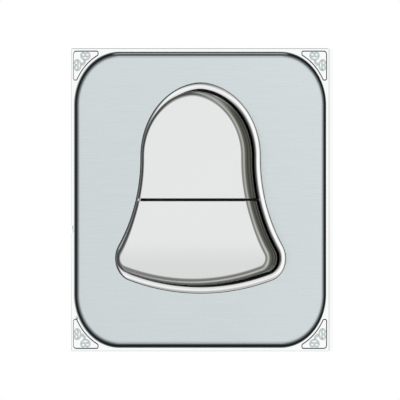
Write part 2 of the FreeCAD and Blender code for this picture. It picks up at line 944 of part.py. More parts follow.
def make_clamp_screws():
    """Four clamp screws, one in the outer side of each terminal, their heads in the housing wall."""
    screws = []
    tip = terminal_x + wire_bore_radius + clamp_tip_gap
    head_inner = terminal_x + terminal_width / 2
    head_outer = head_inner + clamp_screw_head_height
    for unit in UNITS:
        for hand in (-1, 1):
            shank = rod_along_x(clamp_screw_radius, hand * tip, hand * head_inner, clamp_screw_y, unit.z)
            head = rod_along_x(
                clamp_screw_head_radius, hand * head_inner, hand * head_outer, clamp_screw_y, unit.z
            )
            slot = block(
                hand * (head_outer - screw_slot_depth),
                hand * (head_outer + OVERRUN),
                clamp_screw_y - clamp_screw_head_radius - OVERRUN,
                clamp_screw_y + clamp_screw_head_radius + OVERRUN,
                unit.z - screw_slot_width / 2,
                unit.z + screw_slot_width / 2,
            )
            screws.append(shank.fuse(head).cut(slot).removeSplitter())
    return Part.makeCompound(screws)


def make_return_spring(unit):
    """Coil spring from the bridge to the back of the housing, round both spigots."""
    start = bridge_y + bridge_thickness + spring_end_gap + spring_wire_radius
    end = housing_back_inside - spring_end_gap - spring_wire_radius
    length = end - start
    helix = Part.makeHelix(length / spring_turns, length, spring_radius)
    corners = []
    for number in range(WIRE_SIDES + 1):
        angle = 2 * math.pi * number / WIRE_SIDES
        out = spring_radius + spring_wire_radius * math.cos(angle)
        corners.append(Vector(out, 0, spring_wire_radius * math.sin(angle)))
    coil = Part.Wire(helix.Edges).makePipeShell([Part.makePolygon(corners)], True, True)
    coil.rotate(Vector(0, 0, 0), Vector(1, 0, 0), -90)
    coil.translate(Vector(0, start, unit.z))
    return coil


def build_part():
    """All sub-parts by node name."""
    parts = {
        "chrome_frame": make_frame(),
        "brushed_panel": make_panel(),
        "bell_bezel": make_bezel(),
        "key_carrier": make_carrier(),
        "mounting_yoke": make_yoke(),
        "back_housing": make_housing(),
        "housing_screws": make_housing_screws(),
        "clamp_screws": make_clamp_screws(),
    }
    for corner, ornament in in_every_corner(make_ornament()).items():
        parts["corner_ornament_" + corner] = ornament
    whole_bell = tapered_bell()
    for unit in UNITS:
        parts[unit.name + "_key"] = make_key(unit, whole_bell)
        parts[unit.name + "_hinge_pin"] = make_hinge_pin(unit)
        parts[unit.name + "_plunger"] = make_plunger(unit)
        parts[unit.name + "_bridge_contact"] = make_bridge(unit)
        parts[unit.name + "_return_spring"] = make_return_spring(unit)
        for hand, hand_name in ((-1, "left"), (1, "right")):
            parts[unit.name + "_" + hand_name + "_contact"] = make_fixed_contact(unit, hand)
            parts[unit.name + "_" + hand_name + "_terminal"] = make_terminal(unit, hand)
    return parts


def main():
    os.makedirs("parts", exist_ok=True)
    for name, shape in build_part().items():
        shape.exportStep("parts/" + name + ".step")
        print(name, "solids", len(shape.Solids), "valid", shape.isValid(), "volume", round(shape.Volume, 2))
    for unit in UNITS:
        arm = abs(unit.hinge_z - unit.z)
        swing = math.degrees(key_travel / abs(unit.hinge_z))
        print(unit.name, "key swing", round(swing, 3), "degrees, plunger arm", arm, "mm, travel", unit.travel)


if __name__ == "__main__":
    main()
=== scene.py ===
"""Finishes, worked pieces, studio and camera for a bell-shaped doorbell push on a square wall plate."""

import json
import logging
import math
from dataclasses import dataclass
from enum import Enum
from typing import Any, Sequence

import bmesh
import bpy
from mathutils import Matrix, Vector

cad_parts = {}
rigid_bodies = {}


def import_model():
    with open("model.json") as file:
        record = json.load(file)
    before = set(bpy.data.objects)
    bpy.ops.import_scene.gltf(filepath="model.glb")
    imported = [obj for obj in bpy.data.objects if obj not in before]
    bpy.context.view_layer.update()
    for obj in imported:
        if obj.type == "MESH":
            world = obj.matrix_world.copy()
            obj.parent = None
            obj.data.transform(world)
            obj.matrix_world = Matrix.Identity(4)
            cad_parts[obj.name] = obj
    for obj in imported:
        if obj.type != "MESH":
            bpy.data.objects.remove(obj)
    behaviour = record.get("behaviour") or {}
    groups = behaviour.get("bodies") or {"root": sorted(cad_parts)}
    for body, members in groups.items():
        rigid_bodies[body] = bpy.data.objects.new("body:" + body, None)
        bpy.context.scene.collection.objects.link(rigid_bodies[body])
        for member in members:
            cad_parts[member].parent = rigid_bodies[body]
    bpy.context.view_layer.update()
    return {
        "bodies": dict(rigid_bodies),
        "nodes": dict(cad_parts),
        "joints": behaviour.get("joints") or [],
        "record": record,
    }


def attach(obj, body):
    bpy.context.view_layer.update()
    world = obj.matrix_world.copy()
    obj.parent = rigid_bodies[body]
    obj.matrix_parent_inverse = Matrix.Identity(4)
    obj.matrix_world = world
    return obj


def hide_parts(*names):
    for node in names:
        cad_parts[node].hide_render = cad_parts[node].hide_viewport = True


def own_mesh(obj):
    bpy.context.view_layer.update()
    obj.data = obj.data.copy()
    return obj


LOG = logging.getLogger("doorbell_push")

# One millimetre in metres, and how close, in mm, two depths are taken as one.
MM = 0.001
NEAR = 1e-3

Colour = tuple[float, float, float]
Stretch = tuple[float, float, float]
Point = tuple[float, float]

WHITE: Colour = (1.0, 1.0, 1.0)


class Body(str, Enum):
    """The bodies that pieces ride on."""

    WALL = "wall_unit"
    UPPER_KEY = "upper_key_body"
    LOWER_KEY = "lower_key_body"


class Unit(Enum):
    """The two switch units: name, height of the plunger's axis and its travel, in mm."""

    UPPER = ("upper", 7.0, 0.9545)
    LOWER = ("lower", -7.0, 0.84)

    @property
    def label(self) -> str:
        """Name that starts the names of the unit's nodes."""
        return self.value[0]

    @property
    def plunger_z(self) -> float:
        """Height of the plunger's axis in mm."""
        return self.value[1]

    @property
    def travel(self) -> float:
        """How far the plunger slides in, in mm."""
        return self.value[2]

    @property
    def side(self) -> int:
        """1 for the unit above the seam, -1 for the one below it."""
        return 1 if self is Unit.UPPER else -1

    @property
    def key_body(self) -> Body:
        """The body of the unit's key."""
        return Body(self.label + "_key_body")


class Shade:
    """A shader socket that can be used in Python sums."""

    def __init__(self, bench: "Bench", socket: bpy.types.NodeSocket) -> None:
        """Wraps one output socket of the bench's tree."""
        self.bench = bench
        self.socket = socket

    def __add__(self, other: "Shade | float") -> "Shade":
        """This plus another."""
        return self.bench.calculate("ADD", self, other)

    def __radd__(self, other: float) -> "Shade":
        """A number plus this."""
        return self.bench.calculate("ADD", other, self)

    def __sub__(self, other: "Shade | float") -> "Shade":
        """This less another."""
        return self.bench.calculate("SUBTRACT", self, other)

    def __rsub__(self, other: float) -> "Shade":
        """A number less this."""
        return self.bench.calculate("SUBTRACT", other, self)

    def __mul__(self, other: "Shade | float") -> "Shade":
        """This times another."""
        return self.bench.calculate("MULTIPLY", self, other)

    def __rmul__(self, other: float) -> "Shade":
        """A number times this."""
        return self.bench.calculate("MULTIPLY", other, self)

    def greater(self, other: "Shade | float") -> "Shade":
        """The greater of this and another."""
        return self.bench.calculate("MAXIMUM", self, other)

    def size(self) -> "Shade":
        """This without its sign."""
        return self.bench.calculate("ABSOLUTE", self)

    def step(self, low: float, high: float) -> "Shade":
        """A smooth step.

        Args:
            low: value at which the step is 0.
            high: value at which it is 1. It may be less than low.

        Returns:
            The step, from 0 to 1.
        """
        if high < low:
            return 1.0 - self.step(high, low)
        node = self.bench.add(
            "ShaderNodeMapRange",
            {"interpolation_type": "SMOOTHSTEP"},
            {"Value": self, "From Min": low, "From Max": high},
        )
        return Shade(self.bench, node.outputs["Result"])

    def window(self, low: float, high: float, soft: float) -> "Shade":
        """One between low and high, fading to nought over the soft width at each end."""
        rise = self.step(low - soft, low + soft)
        return rise * self.step(high + soft, high - soft)


class Bench:
    """A node tree in which finishes and the studio are put together."""

    def __init__(self, tree: bpy.types.NodeTree) -> None:
        """Takes over a tree and empties it."""
        self.tree = tree
        self.tree.nodes.clear()

    def add(
        self,
        kind: str,
        settings: dict[str, Any] | None = None,
        inputs: dict[str | int, Any] | None = None,
    ) -> bpy.types.Node:
        """Adds one node.

        Args:
            kind: the node's type.
            settings: the node's properties, which are set first.
            inputs: values or links of its sockets, by name or place.

        Returns:
            The node.
        """
        node = self.tree.nodes.new(kind)
        for name, value in (settings or {}).items():
            setattr(node, name, value)
        for name, value in (inputs or {}).items():
            socket = node.inputs[name]
            if isinstance(value, Shade):
                self.tree.links.new(value.socket, socket)
            elif isinstance(value, bpy.types.NodeSocket):
                self.tree.links.new(value, socket)
            else:
                socket.default_value = value
        return node

    def take(
        self,
        kind: str,
        output: str | int,
        settings: dict[str, Any] | None = None,
        inputs: dict[str | int, Any] | None = None,
    ) -> Shade:
        """Adds a node as add() does, and takes one of its outputs."""
        return Shade(self, self.add(kind, settings, inputs).outputs[output])

    def calculate(self, operation: str, *values: Shade | float) -> Shade:
        """A Math node's result, from its operation and its inputs in their order."""
        settings = {"operation": operation}
        return self.take("ShaderNodeMath", 0, settings=settings, inputs=dict(enumerate(values)))

    def place(self) -> Shade:
        """The point on the piece, in metres."""
        return self.take("ShaderNodeTexCoord", "Object")

    def tone(self) -> Shade:
        """How much painted shade the piece has here, from its mesh's attribute: 0 where it has none."""
        return self.take("ShaderNodeAttribute", "Fac", settings={"attribute_name": "tone"})

    def axes(self, vector: Shade) -> tuple[Shade, Shade, Shade]:
        """The three numbers of a vector."""
        node = self.add("ShaderNodeSeparateXYZ", None, {0: vector})
        return tuple(Shade(self, output) for output in node.outputs)

    def stretched(self, vector: Shade, scale: Sequence[float]) -> Shade:
        """A vector times three factors."""
        return self.take(
            "ShaderNodeVectorMath", 0, settings={"operation": "MULTIPLY"}, inputs={0: vector, 1: scale}
        )

    def noise(self, vector: Shade, scale: float, detail: float = 2.0) -> Shade:
        """Soft noise about a half.

        Args:
            vector: where it is read.
            scale: cells in a metre.
            detail: how many finer layers it has.

        Returns:
            The noise, from 0 to 1.
        """
        inputs = {"Vector": vector, "Scale": scale, "Detail": detail, "Roughness": 0.55}
        return self.take("ShaderNodeTexNoise", 0, inputs=inputs)

    def mixed(self, share: Shade | float, first: Any, second: Any) -> Shade:
        """A mix of two colours: the first at share 0, the second at 1."""
        inputs = {0: share, 6: first, 7: second}
        return self.take("ShaderNodeMix", 2, settings={"data_type": "RGBA"}, inputs=inputs)

    def bump(self, height: Shade, depth: float, strength: float) -> Shade:
        """A normal from a height.

        Args:
            height: the height, about 0 to 1.
            depth: what a height of 1 stands for, in metres.
            strength: how much of it is used.

        Returns:
            The normal.
        """
        inputs = {"Height": height, "Distance": depth, "Strength": strength}
        return self.take("ShaderNodeBump", 0, inputs=inputs)


def opaque(colour: Colour) -> tuple[float, float, float, float]:
    """A colour with full cover, as sockets take it."""
    return (*colour, 1.0)


def toned(colour: Colour, factor: float) -> tuple[float, float, float, float]:
    """A colour made lighter or darker."""
    return (*(min(part * factor, 1.0) for part in colour), 1.0)


@dataclass(frozen=True)
class Finish:
    """What every finish has: its name, the record's material slot and its main colour."""

    name: str
    slot: str
    colour: Colour

    def material(self) -> bpy.types.Material:
        """The finish as a material, made once.

        Returns:
            The material.
        """
        found = bpy.data.materials.get(self.name)
        if found:
            return found
        material = bpy.data.materials.new(self.name)
        material.use_nodes = True
        material.diffuse_color = opaque(self.colour)
        bench = Bench(material.node_tree)
        shader = bench.add("ShaderNodeBsdfPrincipled")
        self.dress(bench, shader)
        bench.add("ShaderNodeOutputMaterial", None, {"Surface": shader.outputs[0]})
        return material

    def dress(self, bench: Bench, shader: bpy.types.Node) -> None:
        """Fills the shader's sockets.

        Args:
            bench: the material's tree.
            shader: the shader in it.
        """
        raise NotImplementedError

    def clouded(self, bench: Bench, share: Shade, spread: Point) -> Shade:
        """The main colour between the two lightnesses of a spread."""
        low, high = spread
        return bench.mixed(share, toned(self.colour, low), toned(self.colour, high))

    def feed(self, bench: Bench, shader: bpy.types.Node, **sockets: Any) -> None:
        """Links or sets a shader's sockets.

        Args:
            bench: the material's tree.
            shader: the shader in it.
            sockets: values or links by the sockets' names, with _ for a space.
        """
        for name, value in sockets.items():
            socket = shader.inputs[name.replace("_", " ")]
            if isinstance(value, Shade):
                bench.tree.links.new(value.socket, socket)
            else:
                socket.default_value = value


@dataclass(frozen=True)
class PolishedChrome(Finish):
    """Mirror plating with faint wiping marks, darkened by painted shade and painted reflections where its
    mesh says so.
    """

    roughness: float = 0.035
    haze: float = 0.05
    # Colour of the painted shade and painted reflections.
    dark: Colour = (0.012, 0.016, 0.016)
    dark_haze: float = 0.1
    spread: Point = (0.985, 1.01)
    cloud_cells: float = 70.0
    wipe_cells: float = 900.0
    wipe_stretch: Stretch = (0.25, 1.0, 2.6)

    def dress(self, bench: Bench, shader: bpy.types.Node) -> None:
        """Fills the shader's sockets.

        Args:
            bench: the material's tree.
            shader: the shader in it.
        """
        place = bench.place()
        tone = bench.tone()
        cloud = bench.noise(place, self.cloud_cells)
        wipes = bench.noise(bench.stretched(place, self.wipe_stretch), self.wipe_cells, 3.0)
        bright = self.clouded(bench, cloud, self.spread)
        # Painted shade: the mesh's attribute darkens the plating where shade and dark reflections fall.
        colour = bench.mixed(tone, bright, opaque(self.dark))
        roughness = self.roughness + self.haze * cloud * wipes + self.dark_haze * tone
        self.feed(bench, shader, Metallic=1.0, Base_Color=colour, Roughness=roughness)


@dataclass(frozen=True)
class GroovePatina(Finish):
    """Painted shade: dark grey in the grooves round the insets, with random stains, lighter beside the
    left edge of the plate.
    """

    worn: Colour = (0.90, 0.93, 0.94)
    worn_x: float = -41.95
    worn_fade: float = 0.03
    roughness: float = 0.4
    spread: Point = (0.7, 1.3)
    stain_cells: float = 1500.0

    def dress(self, bench: Bench, shader: bpy.types.Node) -> None:
        """Fills the shader's sockets.

        Args:
            bench: the material's tree.
            shader: the shader in it.
        """
        place = bench.place()
        across = bench.axes(place)[0] * (1 / MM)
        cloud = bench.noise(place, self.stain_cells, 3.0)
        # Painted shade: the grooves are dark grey with random stains, and lighter beside the left edge of
        # the plate.
        worn = across.step(self.worn_x + self.worn_fade, self.worn_x - self.worn_fade)
        stain = self.clouded(bench, cloud, self.spread)
        colour = bench.mixed(worn, stain, opaque(self.worn))
        roughness = self.roughness + 0.2 * cloud
        self.feed(bench, shader, Metallic=0.4, Base_Color=colour, Roughness=roughness)


@dataclass(frozen=True)
class BrushedSheet(Finish):
    """Sheet metal brushed from side to side, with a painted shadow of the frame's lip along its round
    opening.

    The lip is the inner edge of the frame's cove. A painted sheen makes it lighter to the right and
    upwards, in shares a mm.
    """

    roughness: float = 0.27
    opening_half: float = 42.0
    opening_radius: float = 15.1
    lip: float = 1.3
    grime: Colour = (0.02, 0.025, 0.028)
    grime_share: float = 0.62
    grime_start: float = -0.35
    grime_end: float = 0.75
    spread: Point = (0.90, 1.08)
    least_share: float = 0.075
    grain_share: float = 0.4
    sheen_share: float = 0.45
    sheen_across: float = 0.006
    sheen_up: float = 0.005
    hair_cells: float = 5200.0
    hair_stretch: Stretch = (0.012, 1.0, 1.0)
    hair_depth: float = 0.012
    streak_cells: float = 1500.0
    streak_stretch: Stretch = (0.02, 1.0, 1.0)
    cloud_cells: float = 28.0

    def beside_lip(self, bench: Bench, place: Shade) -> Shade:
        """One at the lip of the frame's opening, fading to nought on the panel.

        Args:
            bench: the material's tree.
            place: the point on the piece.

        Returns:
            The share of painted shadow.
        """
        middle = self.opening_half - self.opening_radius
        x, _, z = bench.axes(place)
        right = x.size() * (1 / MM) - middle
        up = z.size() * (1 / MM) - middle
        right_part = right.greater(0.0)
        up_part = up.greater(0.0)
        corner = bench.calculate("SQRT", right_part * right_part + up_part * up_part)
        inwards = self.opening_radius - corner
        return inwards.step(self.lip + self.grime_end, self.lip + self.grime_start)

    def dress(self, bench: Bench, shader: bpy.types.Node) -> None:
        """Fills the shader's sockets.

        Args:
            bench: the material's tree.
            shader: the shader in it.
        """
        place = bench.place()
        hair = bench.noise(bench.stretched(place, self.hair_stretch), self.hair_cells, 3.0)
        streak = bench.noise(bench.stretched(place, self.streak_stretch), self.streak_cells)
        cloud = bench.noise(place, self.cloud_cells, 1.0)
        grain = (0.55 * hair + 0.3 * streak + 0.15 * cloud).step(0.25, 0.75)
        x, _, z = bench.axes(place)
        # Painted light: the sheet is painted lighter to the right and upwards.
        sheen = 0.5 + x * (self.sheen_across / MM) + z * (self.sheen_up / MM)
        share = self.least_share + self.grain_share * grain + self.sheen_share * sheen
        clean = self.clouded(bench, share, self.spread)
        # Painted shadow of the cove's lip, darkening the panel along its round opening.
        grime = self.beside_lip(bench, place) * self.grime_share
        colour = bench.mixed(grime, clean, opaque(self.grime))
        normal = bench.bump(0.7 * hair + 0.3 * streak, self.hair_depth * MM, 0.35)
        roughness = self.roughness + 0.1 * (streak - 0.5)
        self.feed(bench, shader, Metallic=1.0, Base_Color=colour, Roughness=roughness, Normal=normal)


@dataclass(frozen=True)
class PearlKey(Finish):
    """A key's plating: satin pearl on the flat face, polished on the round shoulder and the sides, with
    painted shade.
    """

    face_y: float = -12.0
    side_colour: Colour = (0.86, 0.86, 0.84)
    # Colour of the painted shade and painted reflections on the shoulder and sides.
    dark: Colour = (0.03, 0.032, 0.024)
    # Painted shade: the satin face is painted darker below this height, over this fade, by this factor.
    lower_z: float = -15.0
    lower_fade: float = 4.5
    lower_tone: float = 0.88
    face_start: float = 0.002
    face_end: float = 0.02
    polished_roughness: float = 0.06
    satin_roughness: float = 0.17
    pearl_roughness: float = 0.05
    pearl_depth: float = 0.003
    spread: Point = (0.985, 1.01)
    cloud_cells: float = 45.0
    pearl_cells: float = 9000.0

    def dress(self, bench: Bench, shader: bpy.types.Node) -> None:
        """Fills the shader's sockets.

        Args:
            bench: the material's tree.
            shader: the shader in it.
        """
        place = bench.place()
        _, depth, height = bench.axes(place)
        face = (depth * (1 / MM)).step(self.face_y + self.face_end, self.face_y + self.face_start)
        high = self.lower_z + self.lower_fade
        # Painted shade: the face darkens towards its bottom.
        lower = (height * (1 / MM)).step(high, self.lower_z - self.lower_fade)
        cloud = bench.noise(place, self.cloud_cells, 1.0)
        pearl = bench.noise(place, self.pearl_cells)
        satin = self.clouded(bench, 0.6 * cloud + 0.4 * pearl, self.spread)
        satin = bench.mixed(lower, satin, toned(self.colour, self.lower_tone))
        # Painted shade and painted reflections on the shoulder and sides, from the mesh's attribute.
        side = bench.mixed(bench.tone(), opaque(self.side_colour), opaque(self.dark))
        colour = bench.mixed(face, side, satin)
        satin_part = self.satin_roughness + self.pearl_roughness * pearl
        roughness = self.polished_roughness + face * satin_part
        normal = bench.bump(face * pearl, self.pearl_depth * MM, 0.3)
        self.feed(bench, shader, Metallic=1.0, Base_Color=colour, Roughness=roughness, Normal=normal)


@dataclass(frozen=True)
class MouldedPlastic(Finish):
    """Moulded plastic with a fine spark texture and slightly uneven gloss."""

    roughness: float = 0.5
    texture: float = 0.02
    spread: Point = (0.95, 1.04)
    cloud_cells: float = 60.0
    spark_cells: float = 3200.0

    def dress(self, bench: Bench, shader: bpy.types.Node) -> None:
        """Fills the shader's sockets.

        Args:
            bench: the material's tree.
            shader: the shader in it.
        """
        place = bench.place()
        cloud = bench.noise(place, self.cloud_cells)
        spark = bench.noise(place, self.spark_cells)
        colour = self.clouded(bench, cloud, self.spread)
        roughness = self.roughness + 0.14 * (cloud - 0.5) + 0.08 * (spark - 0.5)
        normal = bench.bump(spark, self.texture * MM, 0.5)
        self.feed(bench, shader, Base_Color=colour, Roughness=roughness, Normal=normal)


@dataclass(frozen=True)
class PlatedSteel(Finish):
    """Zinc-plated or bright steel: cloudy plating over faint drawing lines."""

    roughness: float = 0.3
    clouding: float = 0.12
    cloud_cells: float = 420.0
    line_cells: float = 4000.0
    line_stretch: Stretch = (1.0, 1.0, 0.06)
    line_depth: float = 0.008

    def dress(self, bench: Bench, shader: bpy.types.Node) -> None:
        """Fills the shader's sockets.

        Args:
            bench: the material's tree.
            shader: the shader in it.
        """
        place = bench.place()
        cloud = bench.noise(place, self.cloud_cells, 3.0)
        lines = bench.noise(bench.stretched(place, self.line_stretch), self.line_cells)
        spread = (1 - self.clouding, 1 + self.clouding)
        colour = self.clouded(bench, 0.65 * cloud + 0.35 * lines, spread)
        roughness = self.roughness + 0.16 * (cloud - 0.5)
        normal = bench.bump(lines, self.line_depth * MM, 0.3)
        self.feed(bench, shader, Metallic=1.0, Base_Color=colour, Roughness=roughness, Normal=normal)


FRAME_CHROME = PolishedChrome("frame_plating", "frame_chrome", (0.945, 0.955, 0.955))
BEZEL_CHROME = PolishedChrome("bell_ring_plating", "bezel_chrome", (0.95, 0.955, 0.955))
INSET_CHROME = PolishedChrome(
    "scroll_inset_plating", "ornament_chrome", (0.95, 0.955, 0.955), haze=0.03
)
# Painted reflection: the beads are painted blue-grey, darker than the insets, for the reflections on their
# sloped sides.
SCROLL_CHROME = PolishedChrome(
    "scroll_bead_plating", "ornament_chrome", (0.66, 0.745, 0.765), haze=0.03
)
# The cove is painted grey like the panel, and its mesh paints it dark near its outer edge: painted
# reflection and painted shade.
COVE_CHROME = PolishedChrome("cove_plating", "frame_chrome", (0.62, 0.67, 0.685), roughness=0.2)
GROOVE_SHADE = GroovePatina("groove_patina", "ornament_chrome", (0.10, 0.115, 0.115))
PANEL_METAL = BrushedSheet("brushed_panel_metal", "panel_metal", (0.647, 0.704, 0.72))
KEY_METAL = PearlKey("pearl_key_plating", "key_metal", (0.80, 0.815, 0.81))
CARRIER_NYLON = MouldedPlastic("dark_nylon", "carrier_nylon", (0.10, 0.10, 0.10), 0.55)
HOUSING_PLASTIC = MouldedPlastic("ivory_housing", "housing_plastic", (0.80, 0.80, 0.775), 0.45)
PLUNGER_PLASTIC = MouldedPlastic("plunger_acetal", "plunger_plastic", (0.84, 0.84, 0.81), 0.28, 0.006)
YOKE_STEEL = PlatedSteel("zinc_yoke_steel", "yoke_steel", (0.60, 0.61, 0.62), 0.34)
SCREW_STEEL = PlatedSteel("zinc_screw_steel", "screw_steel", (0.64, 0.64, 0.64), 0.28)
SPRING_STEEL = PlatedSteel("bright_spring_wire", "spring_steel", (0.58, 0.58, 0.59), 0.22, 0.06)
PIN_STEEL = PlatedSteel("ground_pin_steel", "pin_steel", (0.62, 0.62, 0.63), 0.16, 0.04)
CONTACT_BRASS = PlatedSteel("contact_strip_brass", "contact_brass", (0.78, 0.59, 0.29), 0.22, 0.08)
TERMINAL_BRASS = PlatedSteel("terminal_block_brass", "terminal_brass", (0.73, 0.55, 0.28), 0.32, 0.1)


def unit_nodes(*endings: str) -> tuple[str, ...]:
    """The names of nodes that both units have, from their endings."""
    return tuple(f"{unit.label}_{ending}" for ending in endings for unit in Unit)


NODE_FINISHES: dict[Finish, tuple[str, ...]] = {
    CARRIER_NYLON: ("key_carrier",),
    HOUSING_PLASTIC: ("back_housing",),
    YOKE_STEEL: ("mounting_yoke",),
    PLUNGER_PLASTIC: unit_nodes("plunger"),
    PIN_STEEL: unit_nodes("hinge_pin"),
    CONTACT_BRASS: unit_nodes("bridge_contact", "left_contact", "right_contact"),
    TERMINAL_BRASS: unit_nodes("left_terminal", "right_terminal"),
}


def eased(value: float, low: float, high: float) -> float:
    """A soft step: 0 up to low, 1 from high."""
    share = min(max((value - low) / (high - low), 0.0), 1.0)
    return share * share * (3 - 2 * share)


@dataclass(frozen=True)
class Arc:
    """One arc of an outline, in mm and degrees. A hollow arc grows where the outline moves inwards."""

    x: float
    z: float
    radius: float
    start: float
    end: float
    steps: int
    hollow: bool = False

    def points(self, inset: float) -> list[Point]:
        """Points of the arc moved inwards.

        Args:
            inset: how far it is moved, in mm.

        Returns:
            The points without the last one, with which the next arc starts.
        """
        radius = self.radius + inset if self.hollow else self.radius - inset
        found = []
        for step in range(self.steps):
            angle = math.radians(self.start + (self.end - self.start) * step / self.steps)
            found.append((self.x + radius * math.cos(angle), self.z + radius * math.sin(angle)))
        return found


@dataclass(frozen=True)
class BellOutline:
    """The bell: its right half from the middle of the base to the crown, mirrored for the left.

    The arcs are the base, the corner of the foot, the hollow waist, the shoulder and the crown.
    Crown and foot are heights in mm, up and down, between which the painted shade fades, as the bell
    is painted lighter at its crown and its foot, and flare is the same for what lies further
    inwards at the foot.
    """

    right: tuple[Arc, ...] = (
        Arc(0.0, 51.05, 77.7, -90.0, -72.094, 26),
        Arc(21.86, -16.606, 6.6, -72.094, 33.075, 26),
        Arc(65.35, 11.718, 45.3, 213.075, 180.0, 36, hollow=True),
        Arc(-1.05, 12.268, 21.1, 0.0, 82.643, 34),
        Arc(0.0, 20.4, 12.9, 82.643, 90.0, 6),
    )
    crown: Point = (24.0, 31.0)
    foot: Point = (17.0, 22.0)
    flare: Point = (4.0, 16.0)

    def whole(self, inset: float) -> list[Point]:
        """The closed outline moved inwards.

        Args:
            inset: how far it is moved, in mm.

        Returns:
            Its points, anticlockwise from the base.
        """
        half = [point for arc in self.right for point in arc.points(inset)]
        top = self.right[-1]
        half.append((0.0, top.z + top.radius - inset))
        return half + [(-x, z) for x, z in reversed(half[1:-1])]

    def loop(self, station: "Station") -> list[Point]:
        """The closed outline at a station, which may lie further inwards at the bell's foot.

        Args:
            station: the station.

        Returns:
            Its points, anticlockwise from the base.
        """
        plain = self.whole(station.inset)
        if not station.low_extra:
            return plain
        found = []
        for (x, z), (far_x, far_z) in zip(plain, self.whole(station.inset + station.low_extra)):
            share = eased(-z, *self.flare)
            found.append((x + (far_x - x) * share, z + (far_z - z) * share))
        return found

    def tone(self, station: "Station", z: float) -> float:
        """How much painted shade a station has at a height.

        Args:
            station: the station, which may be painted lighter at the crown and at the foot.
            z: the height in mm.

        Returns:
            The painted shade.
        """
        # Painted light: the shade is lifted towards the crown and the foot.
        crown = (1 - station.crown_share) * eased(z, *self.crown)
        foot = (1 - station.foot_share) * eased(-z, *self.foot)
        return station.tone * (1 - crown - foot)


@dataclass(frozen=True)
class RoundSquare:
    """A square with round corners: half its side, its corner radius and the fade of the painted glint at
    its top, in mm.
    """

    half: float
    radius: float
    steps: int = 28
    fade: float = 0.25

    def loop(self, station: "Station") -> list[Point]:
        """The closed outline at a station.

        Args:
            station: the station.

        Returns:
            Its points, anticlockwise.
        """
        middle = self.half - self.radius
        found = []
        for turn, (right, up) in enumerate(((1, -1), (1, 1), (-1, 1), (-1, -1))):
            start = -90.0 + 90.0 * turn
            corner = Arc(right * middle, up * middle, self.radius, start, start + 90.0, self.steps)
            found += corner.points(station.inset)
            angle = math.radians(start + 90.0)
            reach = self.radius - station.inset
            found.append((corner.x + reach * math.cos(angle), corner.z + reach * math.sin(angle)))
        return found

    def tone(self, station: "Station", z: float) -> float:
        """How much painted shade a station has at a height: it may be painted lighter along the top side,
        a painted glint.
        """
        top = eased(self.half - station.inset - z, self.fade, 0.0)
        return station.tone * (1 - (1 - station.crown_share) * top)


@dataclass(frozen=True)
class Station:
    """One ring of a loft, in mm.

    It holds how far inwards the ring lies, how deep (y), how much painted shade it has (0 to 1), how
    much further inwards it lies at the bell's foot, and the shares of its painted shade kept at its
    crown and foot, where it is painted lighter.
    """

    inset: float
    depth: float
    tone: float = 0.0
    low_extra: float = 0.0
    crown_share: float = 1.0
    foot_share: float = 1.0


@dataclass(frozen=True)
class Tones:
    """How much painted shade a profile has along its width: marks of place in mm and shade, joined by
    straight lines.
    """

    marks: tuple[Point, ...]

    def at(self, place: float) -> float:
        """The tone at a place.

        Args:
            place: where, in mm. Beyond the last mark the tone stays the same.

        Returns:
            The painted shade, from 0 to 1.
        """
        for (low, low_tone), (high, high_tone) in zip(self.marks, self.marks[1:]):
            if place <= high:
                return low_tone + (high_tone - low_tone) * (place - low) / (high - low)
        return self.marks[-1][1]


# Painted shade and painted reflections, as bands of darkness: from the key's face outwards over its
# shoulder, from the cove's outer edge inwards, and from the ring's inner edge outwards.
SHOULDER_TONES = Tones(
    (
        (0.0, 0.0),
        (0.2, 0.4),
        (0.45, 0.8),
        (0.72, 0.74),
        (0.95, 0.25),
        (1.1, 0.25),
        (1.32, 0.8),
        (1.7, 0.9),
    )
)
COVE_TONES = Tones(
    ((0.0, 0.1), (0.15, 0.5), (0.33, 1.0), (0.75, 1.0), (0.95, 0.9), (1.15, 0.75), (1.3, 0.55))
)
RING_TONES = Tones(((0.0, 0.2), (0.12, 0.2), (0.3, 0.75), (0.5, 0.8), (0.72, 0.5), (0.95, 0.0)))


class Loft:
    """A shell of quads through stations along an outline, with the stations' painted shade kept as an
    attribute.
    """

    def __init__(self, outline: BellOutline | RoundSquare, stations: Sequence[Station]) -> None:
        """Builds the rings and the quads between them.

        Args:
            outline: the outline.
            stations: the rings' stations, in their order.
        """
        self.shape = bmesh.new()
        # Painted shade and painted reflections, kept on each vertex.
        self.tone = self.shape.verts.layers.float.new("tone")
        self.rings: list[list[bmesh.types.BMVert]] = []
        for station in stations:
            ring = []
            for x, z in outline.loop(station):
                vertex = self.shape.verts.new((x * MM, station.depth * MM, z * MM))
                vertex[self.tone] = outline.tone(station, z)
                ring.append(vertex)
            self.rings.append(ring)
        for back, front in zip(self.rings, self.rings[1:]):
            self.bridge(back, front)

    def bridge(self, back: list[bmesh.types.BMVert], front: list[bmesh.types.BMVert]) -> None:
        """Quads from one ring to the next.

        Args:
            back: the first ring.
            front: the second, with as many points.
        """
        count = len(back)
        for place in range(count):
            after = (place + 1) % count
            self.shape.faces.new((back[place], back[after], front[after], front[place]))

    def close(self) -> None:
        """Joins the last ring to the first."""
        self.bridge(self.rings[-1], self.rings[0])

    def cap(self) -> None:
        """Closes the front and the back with flat faces."""
        self.shape.faces.new(self.rings[-1])
        self.shape.faces.new(list(reversed(self.rings[0])))


